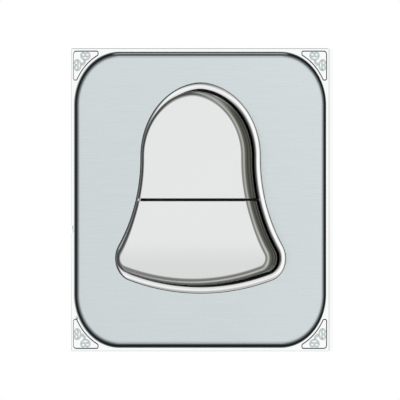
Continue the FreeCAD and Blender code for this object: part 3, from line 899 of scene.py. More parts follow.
class Lathe:
    """A turned form about an axis along Y, from its profile of radius and depth, in mm."""

    def __init__(self, profile: Sequence[Point], steps: int = 32) -> None:
        """Turns the profile.

        Args:
            profile: its points. The first and the last lie on the axis.
            steps: how many faces go round.
        """
        self.shape = bmesh.new()
        rings = []
        for radius, depth in profile:
            if radius == 0.0:
                rings.append([self.shape.verts.new((0.0, depth * MM, 0.0))] * steps)
                continue
            ring = []
            for step in range(steps):
                angle = 2 * math.pi * step / steps
                x = radius * math.cos(angle) * MM
                z = radius * math.sin(angle) * MM
                ring.append(self.shape.verts.new((x, depth * MM, z)))
            rings.append(ring)
        for first, second in zip(rings, rings[1:]):
            for step in range(steps):
                after = (step + 1) % steps
                corners = []
                for vertex in (first[step], second[step], second[after], first[after]):
                    if vertex not in corners:
                        corners.append(vertex)
                if len(corners) > 2:
                    self.shape.faces.new(corners)
        bmesh.ops.recalc_face_normals(self.shape, faces=self.shape.faces)


class GeometryBench(Bench):
    """A Geometry Nodes tree with named inputs, which is run once and leaves a plain mesh."""

    def __init__(self, name: str, sizes: Sequence[str], template: bool = False) -> None:
        """Starts the tree.

        Args:
            name: the tree's name.
            sizes: names of its number inputs.
            template: whether it also takes an object.
        """
        tree = bpy.data.node_groups.new(name, "GeometryNodeTree")
        super().__init__(tree)
        tree.interface.new_socket("Geometry", in_out="INPUT", socket_type="NodeSocketGeometry")
        tree.interface.new_socket("Geometry", in_out="OUTPUT", socket_type="NodeSocketGeometry")
        for size in sizes:
            tree.interface.new_socket(size, in_out="INPUT", socket_type="NodeSocketFloat")
        if template:
            tree.interface.new_socket("Template", in_out="INPUT", socket_type="NodeSocketObject")
        self.entry = self.add("NodeGroupInput")

    def given(self, name: str) -> Shade:
        """One of the tree's inputs."""
        return Shade(self, self.entry.outputs[name])

    def template(self) -> Shade:
        """The geometry of the object that the tree takes."""
        return self.take("GeometryNodeObjectInfo", "Geometry", inputs={"Object": self.given("Template")})

    def join(self, *parts: Shade) -> Shade:
        """Several geometries as one.

        Args:
            parts: the geometries.

        Returns:
            The whole.
        """
        node = self.add("GeometryNodeJoinGeometry")
        for part in parts:
            self.tree.links.new(part.socket, node.inputs[0])
        return Shade(self, node.outputs[0])

    def turned(self, geometry: Shade, scale: Sequence[float]) -> Shade:
        """A geometry scaled about the origin, to mirror it."""
        inputs = {"Geometry": geometry, "Scale": scale}
        return self.take("GeometryNodeTransform", 0, inputs=inputs)

    def vector(self, x: Any, y: Any, z: Any) -> Shade:
        """A vector of three numbers."""
        return self.take("ShaderNodeCombineXYZ", 0, inputs={0: x, 1: y, 2: z})

    def moved(self, geometry: Shade, position: Shade) -> Shade:
        """A geometry with new positions."""
        inputs = {"Geometry": geometry, "Position": position}
        return self.take("GeometryNodeSetPosition", 0, inputs=inputs)

    def swept(self, curve: Shade, steps: int, radius: Shade) -> Shade:
        """A round bar along a curve.

        Args:
            curve: its centre line.
            steps: how many faces go round.
            radius: its radius in metres.

        Returns:
            The bar.
        """
        circle_inputs = {"Resolution": steps, "Radius": radius}
        circle = self.take("GeometryNodeCurvePrimitiveCircle", 0, inputs=circle_inputs)
        inputs = {"Curve": curve, "Profile Curve": circle, "Fill Caps": True}
        return self.take("GeometryNodeCurveToMesh", 0, inputs=inputs)

    def run(self, name: str, geometry: Shade, finish: Finish, values: dict[str, Any]) -> bpy.types.Object:
        """Ends the tree and runs it.

        Args:
            name: the piece's name.
            geometry: what the tree makes.
            finish: the piece's finish.
            values: the inputs by name, lengths in metres.

        Returns:
            The piece, a plain mesh.
        """
        shaded = self.take("GeometryNodeSetShadeSmooth", 0, inputs={"Geometry": geometry})
        real = self.take("GeometryNodeRealizeInstances", 0, inputs={0: shaded})
        inputs = {"Geometry": real, "Material": finish.material()}
        done = self.take("GeometryNodeSetMaterial", 0, inputs=inputs)
        self.add("NodeGroupOutput", None, {0: done})
        piece = new_piece(name, bpy.data.meshes.new(name))
        modifier = piece.modifiers.new(name, "NODES")
        modifier.node_group = self.tree
        for item in self.tree.interface.items_tree:
            if item.in_out == "INPUT" and item.name in values:
                modifier[item.identifier] = values[item.name]
        piece.update_tag()
        settle(piece)
        return piece


def paint(piece: bpy.types.Object, *finishes: Finish) -> None:
    """Gives a piece its finishes.

    Args:
        piece: the piece.
        finishes: the first one goes on every face that has no other.
    """
    materials = [finish.material() for finish in finishes]
    places = piece.data.materials
    for place in range(min(len(places), len(materials))):
        places[place] = materials[place]
    for material in materials[len(places) :]:
        places.append(material)


def new_piece(name: str, mesh: bpy.types.Mesh) -> bpy.types.Object:
    """Links a new object at the origin.

    Args:
        name: its name.
        mesh: its mesh.

    Returns:
        The object.
    """
    piece = bpy.data.objects.new(name, mesh)
    bpy.context.scene.collection.objects.link(piece)
    return piece


def shaped(name: str, shape: bmesh.types.BMesh, *finishes: Finish) -> bpy.types.Object:
    """A piece from a mesh in the making.

    Args:
        name: the piece's name.
        shape: the mesh, which is used up.
        finishes: its finishes, in the order of their places on the mesh.

    Returns:
        The piece.
    """
    mesh = bpy.data.meshes.new(name)
    shape.to_mesh(mesh)
    shape.free()
    piece = new_piece(name, mesh)
    paint(piece, *finishes)
    return piece


def settle(piece: bpy.types.Object) -> None:
    """Makes what a piece's modifiers give its plain mesh, and removes them.

    Args:
        piece: the piece.
    """
    graph = bpy.context.evaluated_depsgraph_get()
    graph.update()
    mesh = bpy.data.meshes.new_from_object(piece.evaluated_get(graph), depsgraph=graph)
    mesh.name = piece.name
    piece.modifiers.clear()
    piece.data = mesh


def smooth(piece: bpy.types.Object, sharp_degrees: float = 30.0) -> None:
    """Smooth shading that keeps flat faces flat.

    Args:
        piece: the piece.
        sharp_degrees: edges sharper than this stay crisp.
    """
    piece.data.shade_smooth()
    piece.data.set_sharp_from_angle(angle=math.radians(sharp_degrees))
    weighting = piece.modifiers.new("flat_faces", "WEIGHTED_NORMAL")
    weighting.keep_sharp = True
    weighting.weight = 50
    settle(piece)


def node_shape(frame: dict[str, Any], node: str) -> bmesh.types.BMesh:
    """A copy of a node's mesh with its doubles merged.

    Args:
        node: the node's name.

    Returns:
        The copy.
    """
    shape = bmesh.new()
    shape.from_mesh(frame["nodes"][node].data)
    bmesh.ops.remove_doubles(shape, verts=shape.verts, dist=0.001 * MM)
    return shape


def flatten(shape: bmesh.types.BMesh) -> None:
    """Joins the triangles of each flat face, so that its shading stays flat."""
    bmesh.ops.dissolve_limit(
        shape,
        angle_limit=math.radians(0.4),
        use_dissolve_boundaries=False,
        verts=shape.verts,
        edges=shape.edges,
        delimit={"NORMAL", "MATERIAL"},
    )


def cut_away(shape: bmesh.types.BMesh, point: Vector, keep: Vector) -> list[bmesh.types.BMEdge]:
    """Cuts a mesh at a plane.

    Args:
        shape: the mesh.
        point: a point of the plane.
        keep: direction of the side that is kept.

    Returns:
        The edges of the cut.
    """
    everything = list(shape.verts) + list(shape.edges) + list(shape.faces)
    cut = bmesh.ops.bisect_plane(
        shape, geom=everything, plane_co=point, plane_no=keep, clear_inner=True
    )
    return [part for part in cut["geom_cut"] if isinstance(part, bmesh.types.BMEdge)]


def fasten(piece: bpy.types.Object, body: Body, finish: Finish, *nodes: str) -> None:
    """Fastens a piece to its body and hides the nodes it stands for.

    Args:
        piece: the piece.
        body: the body it rides on.
        finish: not used.
        nodes: the nodes that it stands for.
    """
    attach(piece, body.value)
    if nodes:
        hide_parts(*nodes)
    LOG.info("%s: %d faces, rides on %s", piece.name, len(piece.data.polygons), body.value)


@dataclass
class CoverFrame:
    """The chrome cover frame with its coved edge, and the scrolled insets in its corners."""

    front: float = -8.0
    plate_half: float = 43.0
    plate_corner: float = 0.6
    opening_half: float = 42.0
    opening_radius: float = 15.1
    cove_width: float = 1.3
    cove_depth: float = 0.3
    # Painted glint: where, in mm inwards, the cove's top side is painted lighter, and the share of its
    # painted shade kept there.
    glint: Point = (0.4, 0.68)
    glint_share: float = 0.2
    cove_steps: int = 16
    edge_round: float = 0.25
    inset_back: float = -7.2
    pocket_start: float = 0.2
    rim_width: float = 0.5
    corner_slack: float = 0.02
    corners: tuple[str, ...] = ("top_left", "top_right", "bottom_left", "bottom_right")

    def inwards(self, x: float, z: float) -> float:
        """How far a point lies inwards of the opening's edge, in mm."""
        middle = self.opening_half - self.opening_radius
        right = abs(x) - middle
        up = abs(z) - middle
        corner = math.hypot(max(right, 0.0), max(up, 0.0))
        return self.opening_radius - corner - min(max(right, up), 0.0)

    def cove(self) -> bpy.types.Object:
        """The cove: a hollow curve from the sharp outer edge down to the panel, with painted shade,
        painted reflections and a painted glint.
        """
        radius = (self.cove_width**2 + self.cove_depth**2) / (2 * self.cove_depth)
        steepest = math.asin(self.cove_width / radius)
        foot = self.front + self.cove_depth
        stations = []
        for step in range(self.cove_steps + 1):
            angle = steepest * (1 - step / self.cove_steps)
            inset = self.cove_width - radius * math.sin(angle)
            depth = foot - radius * (1 - math.cos(angle))
            # Painted glint along the cove's top side.
            glint = self.glint_share if self.glint[0] < inset < self.glint[1] else 1.0
            stations.append(Station(inset, depth, COVE_TONES.at(inset), crown_share=glint))
        outline = RoundSquare(self.opening_half, self.opening_radius)
        return shaped("cove", Loft(outline, stations).shape, COVE_CHROME)

    def body(self, frame: dict[str, Any]) -> bpy.types.Object:
        """The frame without its cove, its outer edge softened and its pockets painted dark as painted
        shade.
        """
        shape = node_shape(frame, "chrome_frame")
        foot = self.front + self.cove_depth
        cove = []
        for face in shape.faces:
            middle = face.calc_center_median() / MM
            inwards = self.inwards(middle.x, middle.z)
            in_cove = self.front + NEAR < middle.y < foot - NEAR
            in_pocket = self.front + NEAR < middle.y < self.inset_back + NEAR
            if in_cove and 0.0 < inwards < self.cove_width:
                cove.append(face)
            elif in_pocket and inwards < -self.pocket_start:
                if max(abs(middle.x), abs(middle.z)) < self.plate_half - self.rim_width:
                    # Painted shade: pocket faces take the dark groove finish.
                    face.material_index = 1
        bmesh.ops.delete(shape, geom=cove, context="FACES")
        flatten(shape)
        rim = [edge for edge in shape.edges if self.is_rim(edge)]
        bmesh.ops.bevel(
            shape, geom=rim, offset=self.edge_round * MM, segments=4, profile=0.5, affect="EDGES"
        )
        return shaped("cover_frame", shape, FRAME_CHROME, GROOVE_SHADE)

    def is_rim(self, edge: bmesh.types.BMEdge) -> bool:
        """Whether an edge lies on the plate's outer outline and at its front."""
        centre = self.plate_half - self.plate_corner
        for vertex in edge.verts:
            place = vertex.co / MM
            if abs(place.y - self.front) > NEAR:
                return False
            right = abs(place.x) - centre
            up = abs(place.z) - centre
            reach = math.hypot(max(right, 0.0), max(up, 0.0))
            if max(right, up) < 0.0 or abs(reach - self.plate_corner) > self.corner_slack:
                return False
        return True

    def inset(self, frame: dict[str, Any], corner: str) -> bpy.types.Object:
        """One inset plate: the back outline of its node brought forward, with its sides painted dark as
        painted shade.
        """
        shape = node_shape(frame, "corner_ornament_" + corner)
        others = [
            face
            for face in shape.faces
            if any(abs(vertex.co.y / MM - self.inset_back) > NEAR for vertex in face.verts)
        ]
        bmesh.ops.delete(shape, geom=others, context="FACES")
        flatten(shape)
        made = bmesh.ops.extrude_face_region(shape, geom=list(shape.faces), use_keep_orig=True)
        raised = [part for part in made["geom"] if isinstance(part, bmesh.types.BMVert)]
        thickness = self.inset_back - self.front
        bmesh.ops.translate(shape, verts=raised, vec=(0.0, -thickness * MM, 0.0))
        bmesh.ops.recalc_face_normals(shape, faces=shape.faces)
        for face in shape.faces:
            if abs(face.calc_center_median().y / MM - self.front) > NEAR:
                # Painted shade: the inset's sides take the dark groove finish.
                face.material_index = 1
        return shaped("scroll_inset_" + corner, shape, INSET_CHROME, GROOVE_SHADE)

    def build(self, frame: dict[str, Any]) -> None:
        """Makes and fastens the frame, the cove, the insets and their scrolls."""
        cover = self.body(frame)
        smooth(cover)
        fasten(cover, Body.WALL, FRAME_CHROME, "chrome_frame")
        cove = self.cove()
        smooth(cove)
        fasten(cove, Body.WALL, FRAME_CHROME)
        for corner in self.corners:
            inset = self.inset(frame, corner)
            smooth(inset)
            fasten(inset, Body.WALL, INSET_CHROME, "corner_ornament_" + corner)
        Scrollwork().build()


@dataclass
class Scrollwork:
    """Raised scrolls on the insets: in each corner two double scrolls and two curls."""

    front: float = -8.0
    corner: float = 42.0
    bead_width: float = 0.46
    bead_height: float = 0.16
    half_length: float = 5.8
    start_radius: float = 2.3
    end_radius: float = 0.45
    along: float = 3.85
    inward: float = 2.28
    curl_length: float = 1.6
    curl_start_radius: float = 0.714
    curl_end_radius: float = 0.192
    curl_start: float = 3.05
    curl_heading: float = 222.0
    steps: int = 40
    bead_steps: int = 12
    taper: float = 0.45

    def spiral(self, length: float, start: float, end: float, heading: float) -> list[Point]:
        """A curve from the origin that bends ever more tightly to the left, in mm."""
        x = 0.0
        z = 0.0
        turn = math.radians(heading)
        step = length / self.steps
        points = [(x, z)]
        for number in range(self.steps):
            share = (number + 0.5) / self.steps
            bend = ((1 - share) / start + share / end) * step
            x += step * math.cos(turn + bend / 2)
            z += step * math.sin(turn + bend / 2)
            turn += bend
            points.append((x, z))
        return points

    def template(self) -> bpy.types.Object:
        """The centre lines of one double scroll and one curl of the top right corner."""
        half = self.spiral(self.half_length, self.start_radius, self.end_radius, 0.0)
        double = [(-x, z) for x, z in reversed(half[1:])] + half
        scroll = [(x + self.corner - self.along, z + self.corner - self.inward) for x, z in double]
        curl = self.spiral(
            self.curl_length, self.curl_start_radius, self.curl_end_radius, self.curl_heading
        )
        start = self.corner - self.curl_start
        lines = [scroll, [(x + start, z + start) for x, z in curl]]
        data = bpy.data.curves.new("scroll_lines", "CURVE")
        data.dimensions = "3D"
        for line in lines:
            spline = data.splines.new("POLY")
            spline.points.add(len(line) - 1)
            for place, (x, z) in enumerate(line):
                spline.points[place].co = (x * MM, self.front * MM, z * MM, 1.0)
        template = bpy.data.objects.new("scroll_lines", data)
        bpy.context.scene.collection.objects.link(template)
        return template

    def build(self) -> None:
        """Runs a half-round bead along every scroll of the four corners."""
        bench = GeometryBench("scroll_beads", ("Bead Width", "Bead Height", "Front"), template=True)
        lines = bench.template()
        position = bench.take("GeometryNodeInputPosition", 0)
        x, y, z = bench.axes(position)
        lines = bench.join(lines, bench.moved(lines, bench.vector(z, y, x)))
        lines = bench.join(lines, bench.turned(lines, (-1.0, 1.0, 1.0)))
        lines = bench.join(lines, bench.turned(lines, (1.0, 1.0, -1.0)))
        along = bench.take("GeometryNodeSplineParameter", "Factor")
        ends = (along * 2.0 - 1.0).size()
        taper = 1.0 - self.taper * (ends * ends)
        lines = bench.take("GeometryNodeSetCurveRadius", 0, inputs={"Curve": lines, "Radius": taper})
        bead = bench.swept(lines, self.bead_steps, bench.given("Bead Width") * 0.5)
        front = bench.given("Front")
        height = bench.given("Bead Height") * 2.0
        flatness = bench.calculate("DIVIDE", height, bench.given("Bead Width"))
        flattened = front + (y - front) * flatness
        bead = bench.moved(bead, bench.vector(x, flattened, z))
        template = self.template()
        values = {
            "Bead Width": self.bead_width * MM,
            "Bead Height": self.bead_height * MM,
            "Front": self.front * MM,
            "Template": template,
        }
        beads = bench.run("scroll_beads", bead, SCROLL_CHROME, values)
        bpy.data.objects.remove(template)
        fasten(beads, Body.WALL, SCROLL_CHROME)


@dataclass
class Push:
    """The brushed panel, the bell ring and the two keys."""

    ring_front: float = -8.1
    ring_back: float = -5.4
    panel_back: float = -6.9
    ring_width: float = 1.95
    ring_flange: float = 1.5
    panel_gap: float = 0.12
    ring_slope: float = 0.28
    outer_round: float = 0.3
    inner_round: float = 0.25
    key_front: float = -12.0
    key_base_inset: float = 2.35
    key_taper: float = 0.15
    shoulder_width: float = 1.72
    shoulder_depth: float = 1.4
    low_extra: float = 0.45
    # Share of the key's painted shade kept at its crown, where it is painted lighter.
    crown_share: float = 0.62
    lid_back: float = -10.35
    half_seam: float = 0.35
    seam_round: float = 0.15
    round_steps: int = 6
    slope_steps: int = 12
    shoulder_steps: int = 28
    least_angle: float = 22.0
    crowning: float = 1.7
    # Painted shade: how dark the ring's outer round, flange and inner wall are painted, the shares of it
    # kept at the ring's crown and foot, and the painted shade on the key's back.
    outer_tone: float = 0.95
    flange_tone: float = 0.9
    inner_wall_tone: float = 0.4
    ring_crown_share: float = 0.2
    ring_foot_share: float = 0.3
    back_tone: float = 0.9
    back_fade: float = 0.3

    def ring_profile(self) -> list[Station]:
        """The ring's front from its outer foot over a crowned slope to its inner edge."""
        stations = []
        outer_front = self.ring_front + self.ring_slope
        least_angle = math.radians(self.least_angle)
        for step in range(self.round_steps + 1):
            angle = math.pi / 2 + (least_angle - math.pi / 2) * step / self.round_steps
            inset = self.panel_gap + self.outer_round * (1 - math.sin(angle))
            depth = outer_front + self.outer_round * (1 - math.cos(angle))
            # Painted shade on the ring's outer round, darkest at its foot.
            stations.append(Station(inset, depth, self.outer_tone * math.sin(angle) ** 2))
        start = stations[-1]
        crest = self.ring_width - self.inner_round
        width = crest - start.inset
        drop = start.depth - self.ring_front
        for step in range(1, self.slope_steps + 1):
            share = step / self.slope_steps
            inset = start.inset + width * share
            depth = start.depth - drop * (1 - (1 - share) ** self.crowning)
            stations.append(self.inner_station(inset, depth))
        for step in range(1, self.round_steps + 1):
            angle = math.pi / 2 * step / self.round_steps
            inset = crest + self.inner_round * math.sin(angle)
            depth = self.ring_front + self.inner_round * (1 - math.cos(angle))
            stations.append(self.inner_station(inset, depth))
        return stations

    def inner_station(self, inset: float, depth: float) -> Station:
        """A station of the ring, painted dark near its inner edge as a painted reflection of the key's
        wall, and painted lighter at its crown and foot.
        """
        tone = RING_TONES.at(self.ring_width - inset)
        return Station(inset, depth, tone, 0.0, self.ring_crown_share, self.ring_foot_share)

    def ring(self) -> bpy.types.Object:
        """The bell ring with its flange behind the panel."""
        stations = [
            Station(-self.ring_flange, self.ring_back, self.flange_tone),
            Station(-self.ring_flange, self.panel_back, self.flange_tone),
            Station(self.panel_gap, self.panel_back, self.flange_tone),
            *self.ring_profile(),
            Station(self.ring_width, self.ring_back, self.inner_wall_tone),
        ]
        loft = Loft(BellOutline(), stations)
        loft.close()
        return shaped("bell_ring", loft.shape, BEZEL_CHROME)

    def lid(self, side: int) -> bmesh.types.BMesh:
        """The front of one key: face, round shoulder and the top of its wall, cut at the seam.

        Args:
            side: 1 for the upper key, -1 for the lower.

        Returns:
            The closed mesh.
        """
        rise = self.ring_front - self.key_front
        wall_inset = self.key_base_inset + self.key_taper * (self.ring_front - self.lid_back) / rise
        face_inset = wall_inset + self.shoulder_width
        wall_tone = SHOULDER_TONES.at(self.shoulder_width)
        # Painted shade and painted reflections over the shoulder, painted lighter at the crown.
        stations = [Station(wall_inset, self.lid_back, wall_tone, crown_share=self.crown_share)]
        for step in range(self.shoulder_steps + 1):
            angle = math.pi / 2 * (1 - step / self.shoulder_steps)
            out = self.shoulder_width * math.sin(angle)
            depth = self.key_front + self.shoulder_depth * (1 - math.cos(angle))
            extra = self.low_extra * (1 - out / self.shoulder_width)
            tone = SHOULDER_TONES.at(out)
            stations.append(Station(face_inset - out, depth, tone, extra, self.crown_share))
        loft = Loft(BellOutline(), stations)
        loft.cap()
        shape = loft.shape
        seam = Vector((0.0, 0.0, side * self.half_seam * MM))
        edges = cut_away(shape, seam, Vector((0.0, 0.0, side)))
        bmesh.ops.edgeloop_fill(shape, edges=edges)
        bmesh.ops.recalc_face_normals(shape, faces=shape.faces)
        front = [
            edge
            for edge in shape.edges
            if edge.is_valid
            and all(abs(v.co.y / MM - self.key_front) < NEAR for v in edge.verts)
            and all(abs(abs(v.co.z / MM) - self.half_seam) < NEAR for v in edge.verts)
        ]
        bmesh.ops.bevel(
            shape, geom=front, offset=self.seam_round * MM, segments=3, profile=0.5, affect="EDGES"
        )
        return shape

    def key(self, frame: dict[str, Any], unit: Unit) -> bpy.types.Object:
        """One key: its worked front, and the node's own hollow back with ears and hooks, with painted
        shade on its wall.
        """
        back = node_shape(frame, unit.label + "_key")
        cut_away(back, Vector((0.0, self.lid_back * MM, 0.0)), Vector((0.0, 1.0, 0.0)))
        # Painted shade on the key's wall: less of it deeper in the gap by the ring, and painted lighter at
        # the crown.
        tone = back.verts.layers.float.new("tone")
        for vertex in back.verts:
            deep = eased(vertex.co.y / MM, self.lid_back, self.ring_front)
            crown = (1 - self.crown_share) * eased(vertex.co.z / MM, *BellOutline.crown)
            vertex[tone] = (self.back_tone - self.back_fade * deep) * (1 - crown)
        rest = bpy.data.meshes.new("key_back")
        back.to_mesh(rest)
        back.free()
        shape = self.lid(unit.side)
        shape.from_mesh(rest)
        bpy.data.meshes.remove(rest)
        return shaped(unit.label + "_bell_key", shape, KEY_METAL)

    def build(self, frame: dict[str, Any]) -> None:
        """Makes and fastens the panel, the ring and the keys."""
        panel = shaped("panel_sheet", node_shape(frame, "brushed_panel"), PANEL_METAL)
        smooth(panel)
        fasten(panel, Body.WALL, PANEL_METAL, "brushed_panel")
        ring = self.ring()
        smooth(ring, 50.0)
        fasten(ring, Body.WALL, BEZEL_CHROME, "bell_bezel")
        for unit in Unit:
            key = self.key(frame, unit)
            smooth(key)
            fasten(key, unit.key_body, KEY_METAL, unit.label + "_key")


@dataclass
class ReturnSprings:
    """The two coil springs, wound from round wire with closed ends."""

    coil_radius: float = 1.9
    wire_radius: float = 0.25
    turns: float = 9.0
    front: float = 5.95
    back: float = 20.15
    closing: float = 0.62
    turn_steps: int = 26
    wire_steps: int = 10

    def build(self) -> None:
        """Winds both springs."""
        length = self.back - self.front
        for unit in Unit:
            names = ("Coil Radius", "Wire Radius", "Turns", "Length", "Front", "Height")
            bench = GeometryBench(unit.label + "_coil", names)
            coil = bench.take(
                "GeometryNodeCurveSpiral",
                0,
                inputs={
                    "Resolution": self.turn_steps,
                    "Rotations": bench.given("Turns"),
                    "Start Radius": bench.given("Coil Radius"),
                    "End Radius": bench.given("Coil Radius"),
                    "Height": bench.given("Length"),
                },
            )
            x, y, z = bench.axes(bench.take("GeometryNodeInputPosition", 0))
            share = bench.calculate("DIVIDE", z, bench.given("Length"))
            wave = bench.calculate("SINE", share * (2 * math.pi)) * (self.closing / (2 * math.pi))
            depth = bench.given("Front") + (share - wave) * bench.given("Length")
            coil = bench.moved(coil, bench.vector(x, depth, bench.given("Height") - y))
            wire = bench.swept(coil, self.wire_steps, bench.given("Wire Radius"))
            values = {
                "Coil Radius": self.coil_radius * MM,
                "Wire Radius": self.wire_radius * MM,
                "Turns": self.turns,
                "Length": length * MM,
                "Front": self.front * MM,
                "Height": unit.plunger_z * MM,
            }
            spring = bench.run(unit.label + "_coil_spring", wire, SPRING_STEEL, values)
            fasten(spring, Body.WALL, SPRING_STEEL, unit.label + "_return_spring")
            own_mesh(spring)


@dataclass
class SlottedScrews:
    """Four alike slotted screws, set by Geometry Nodes with their slots turned at random."""

    name: str
    node: str
    shank_radius: float
    shank_length: float
    head_radius: float
    head_height: float
    spacing_x: float
    spacing_z: float
    seat_depth: float
    outwards: float = 0.0
    slot_width: float = 0.6
    slot_depth: float = 0.6
    edge: float = 0.25
    seed: int = 7

    def template(self) -> bpy.types.Object:
        """One screw along Y with its head's seat at the origin, its slot cut across."""
        top = self.head_height
        point = self.shank_radius * 0.6
        profile = [(0.0, -self.shank_length), (point, -self.shank_length)]
        profile.append((self.shank_radius, -self.shank_length + self.shank_radius * 0.5))
        profile += [(self.shank_radius, 0.0), (self.head_radius, 0.0)]
        profile.append((self.head_radius, top - self.edge))
        profile.append((self.head_radius - self.edge * 0.3, top - self.edge * 0.3))
        profile += [(self.head_radius - self.edge, top), (0.0, top)]
        screw = shaped(self.name + "_one", Lathe(profile).shape, SCREW_STEEL)
        cutter_shape = bmesh.new()
        bmesh.ops.create_cube(cutter_shape, size=1.0)
        for vertex in cutter_shape.verts:
            vertex.co.x *= self.head_radius * 3 * MM
            vertex.co.y = (top + vertex.co.y * 2 * self.slot_depth) * MM
            vertex.co.z *= self.slot_width * MM
        cutter = shaped(self.name + "_slot", cutter_shape, SCREW_STEEL)
        slotting = screw.modifiers.new("slot", "BOOLEAN")
        slotting.operation = "DIFFERENCE"
        slotting.solver = "EXACT"
        slotting.object = cutter
        settle(screw)
        bpy.data.objects.remove(cutter)
        return screw

    def build(self) -> None:
        """Sets the four screws."""
        names = ("Spacing X", "Spacing Z", "Seat Depth", "Turn")
        bench = GeometryBench(self.name, names, template=True)
        grid = bench.take(
            "GeometryNodeMeshGrid",
            0,
            inputs={
                "Size X": bench.given("Spacing X"),
                "Size Y": bench.given("Spacing Z"),
                "Vertices X": 2,
                "Vertices Y": 2,
            },
        )
        x, y, _ = bench.axes(bench.take("GeometryNodeInputPosition", 0))
        points = bench.moved(grid, bench.vector(x, bench.given("Seat Depth"), y))
        x, _, _ = bench.axes(bench.take("GeometryNodeInputPosition", 0))
        side = bench.calculate("SIGN", x)
        twist = bench.take(
            "FunctionNodeRandomValue",
            1,
            settings={"data_type": "FLOAT"},
            inputs={2: 0.0, 3: math.pi, "Seed": self.seed},
        )
        turn = bench.vector(0.0, twist, bench.given("Turn") * side)
        inputs = {"Points": points, "Instance": bench.template(), "Rotation": turn}
        screws = bench.take("GeometryNodeInstanceOnPoints", 0, inputs=inputs)
        template = self.template()
        values = {
            "Spacing X": self.spacing_x * MM,
            "Spacing Z": self.spacing_z * MM,
            "Seat Depth": self.seat_depth * MM,
            "Turn": -math.radians(self.outwards),
            "Template": template,
        }
        piece = bench.run(self.name, screws, SCREW_STEEL, values)
        bpy.data.objects.remove(template)
        smooth(piece, 25.0)
        fasten(piece, Body.WALL, SCREW_STEEL, self.node)


@dataclass
class Works:
    """What is held inside and behind: nodes that only need a finish, springs and screws."""

    def build(self, frame: dict[str, Any]) -> None:
        """Dresses the nodes that stay and makes the springs and the screws."""
        for finish, nodes in NODE_FINISHES.items():
            for node in nodes:
                paint(frame["nodes"][node], finish)
                LOG.info("%s: node with %s", node, finish.name)
        ReturnSprings().build()
        SlottedScrews(
            name="flange_screws",
            node="housing_screws",
            shank_radius=1.25,
            shank_length=5.6,
            head_radius=2.2,
            head_height=1.4,
            spacing_x=44.0,
            spacing_z=42.0,
            seat_depth=1.5,
        ).build()
        SlottedScrews(
            name="wire_clamp_screws",
            node="clamp_screws",
            shank_radius=1.2,
            shank_length=1.4,
            head_radius=2.1,
            head_height=1.5,
            spacing_x=39.0,
            spacing_z=14.0,
            seat_depth=16.6,
            outwards=90.0,
        ).build()


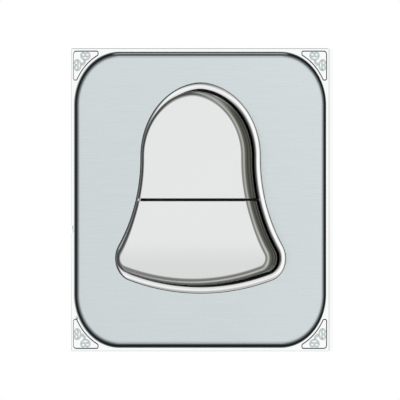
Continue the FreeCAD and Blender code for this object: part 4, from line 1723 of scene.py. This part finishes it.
@dataclass
class Studio:
    """Plain soft studio: world, floor, one soft lamp and the camera.

    The aim is in mm. The card, what is white behind and above, and the cloth's fade are in
    degrees round from the front or up, and the card's third number is its soft edge.
    """

    azimuth: float = 31.6
    elevation: float = 0.0
    pixels_per_mm: float = 3.5256
    picture: float = 400.0
    distance: float = 0.6
    floor_drop: float = 0.3
    floor_radius: float = 0.55
    aim: tuple[float, float, float] = (0.0, -8.0, -0.07)
    card_sides: tuple[float, float, float] = (-58.0, 14.0, 7.0)
    card_heights: tuple[float, float, float] = (-28.0, 28.0, 9.0)
    behind: Point = (108.0, 128.0)
    above: Point = (48.0, 72.0)
    above_share: float = 0.75
    cloth_fade: Point = (-50.0, 10.0)
    left_cloth: Colour = (0.12, 0.125, 0.125)
    right_cloth: Colour = (0.66, 0.665, 0.61)
    fill: Colour = (0.8, 0.8, 0.8)
    lamp_place: tuple[float, float, float] = (-0.7, -0.8, 0.9)
    lamp_size: float = 0.7
    lamp_power: float = 2.2

    def towards_camera(self) -> Vector:
        """Unit vector from the plate to the camera."""
        turn = math.radians(self.azimuth)
        rise = math.radians(self.elevation)
        return Vector(
            (math.sin(turn) * math.cos(rise), -math.cos(turn) * math.cos(rise), math.sin(rise))
        )

    def camera(self) -> None:
        """Camera without perspective, aimed at the middle of the plate's front."""
        data = bpy.data.cameras.new("camera")
        data.type = "ORTHO"
        data.ortho_scale = self.picture / self.pixels_per_mm * MM
        data.clip_start = 0.01
        data.clip_end = 10.0
        camera = bpy.data.objects.new("camera", data)
        bpy.context.scene.collection.objects.link(camera)
        back = self.towards_camera()
        camera.location = Vector(self.aim) * MM + back * self.distance
        camera.rotation_euler = back.to_track_quat("Z", "Y").to_euler()
        bpy.context.scene.camera = camera

    def world(self) -> None:
        """White behind the object; mirrors see a broad white card in front and grey cloth round it."""
        world = bpy.data.worlds.new("studio")
        world.use_nodes = True
        bpy.context.scene.world = world
        bench = Bench(world.node_tree)
        x, y, z = bench.axes(bench.take("ShaderNodeTexCoord", "Generated"))
        degrees = 180 / math.pi
        side = bench.calculate("ARCTAN2", x, 0.0 - y) * degrees
        height = bench.calculate("ARCSINE", z) * degrees
        card = side.window(*self.card_sides) * height.window(*self.card_heights)
        behind = side.size().step(*self.behind)
        above = height.size().step(*self.above) * self.above_share
        lights = card.greater(behind).greater(above)
        right_part = side.step(*self.cloth_fade)
        cloth = bench.mixed(right_part, opaque(self.left_cloth), opaque(self.right_cloth))
        seen = bench.mixed(lights, cloth, opaque(WHITE))
        path = bench.add("ShaderNodeLightPath")
        glossy = Shade(bench, path.outputs["Is Glossy Ray"])
        camera = Shade(bench, path.outputs["Is Camera Ray"])
        even = bench.mixed(glossy, opaque(self.fill), seen)
        colour = bench.mixed(camera, even, opaque(WHITE))
        background = bench.add("ShaderNodeBackground", None, {"Color": colour, "Strength": 1.0})
        bench.add("ShaderNodeOutputWorld", None, {"Surface": background.outputs[0]})

    def lamp(self) -> None:
        """One large soft lamp, high on the left, for the plastic and satin parts."""
        data = bpy.data.lights.new("soft_lamp", "AREA")
        data.shape = "DISK"
        data.size = self.lamp_size
        data.energy = self.lamp_power
        lamp = bpy.data.objects.new("soft_lamp", data)
        bpy.context.scene.collection.objects.link(lamp)
        lamp.location = self.lamp_place
        lamp.rotation_euler = lamp.location.to_track_quat("Z", "Y").to_euler()
        lamp.visible_glossy = False

    def floor(self) -> None:
        """Pale round floor whose edge fades away."""
        shape = bmesh.new()
        bmesh.ops.create_circle(shape, cap_ends=True, radius=self.floor_radius, segments=96)
        for vertex in shape.verts:
            vertex.co.z = -self.floor_drop
        mesh = bpy.data.meshes.new("floor")
        shape.to_mesh(mesh)
        shape.free()
        floor = new_piece("floor", mesh)
        material = bpy.data.materials.new("pale_floor")
        material.use_nodes = True
        bench = Bench(material.node_tree)
        place = bench.place()
        x, y, _ = bench.axes(place)
        out = bench.calculate("SQRT", x * x + y * y)
        fade = out.step(self.floor_radius * 0.45, self.floor_radius * 0.95)
        cloud = bench.noise(place, 6.0, 2.0)
        colour = bench.mixed(cloud, (0.92, 0.92, 0.92, 1), (0.95, 0.95, 0.95, 1))
        shader = bench.add("ShaderNodeBsdfDiffuse", None, {"Color": colour})
        clear = bench.add("ShaderNodeBsdfTransparent")
        mix = bench.add(
            "ShaderNodeMixShader", None, {0: fade, 1: shader.outputs[0], 2: clear.outputs[0]}
        )
        bench.add("ShaderNodeOutputMaterial", None, {"Surface": mix.outputs[0]})
        mesh.materials.append(material)

    def build(self) -> None:
        """Sets up the camera, the world, the lamp and the floor."""
        self.camera()
        self.world()
        self.lamp()
        self.floor()
        bpy.context.scene.view_settings.view_transform = "Standard"


def main() -> None:
    """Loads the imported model, dresses it and sets up the studio."""
    logging.basicConfig(level=logging.INFO, format="%(name)s: %(message)s")
    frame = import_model()
    Studio().build()
    CoverFrame().build(frame)
    Push().build(frame)
    Works().build(frame)


if __name__ == "__main__":
    main()
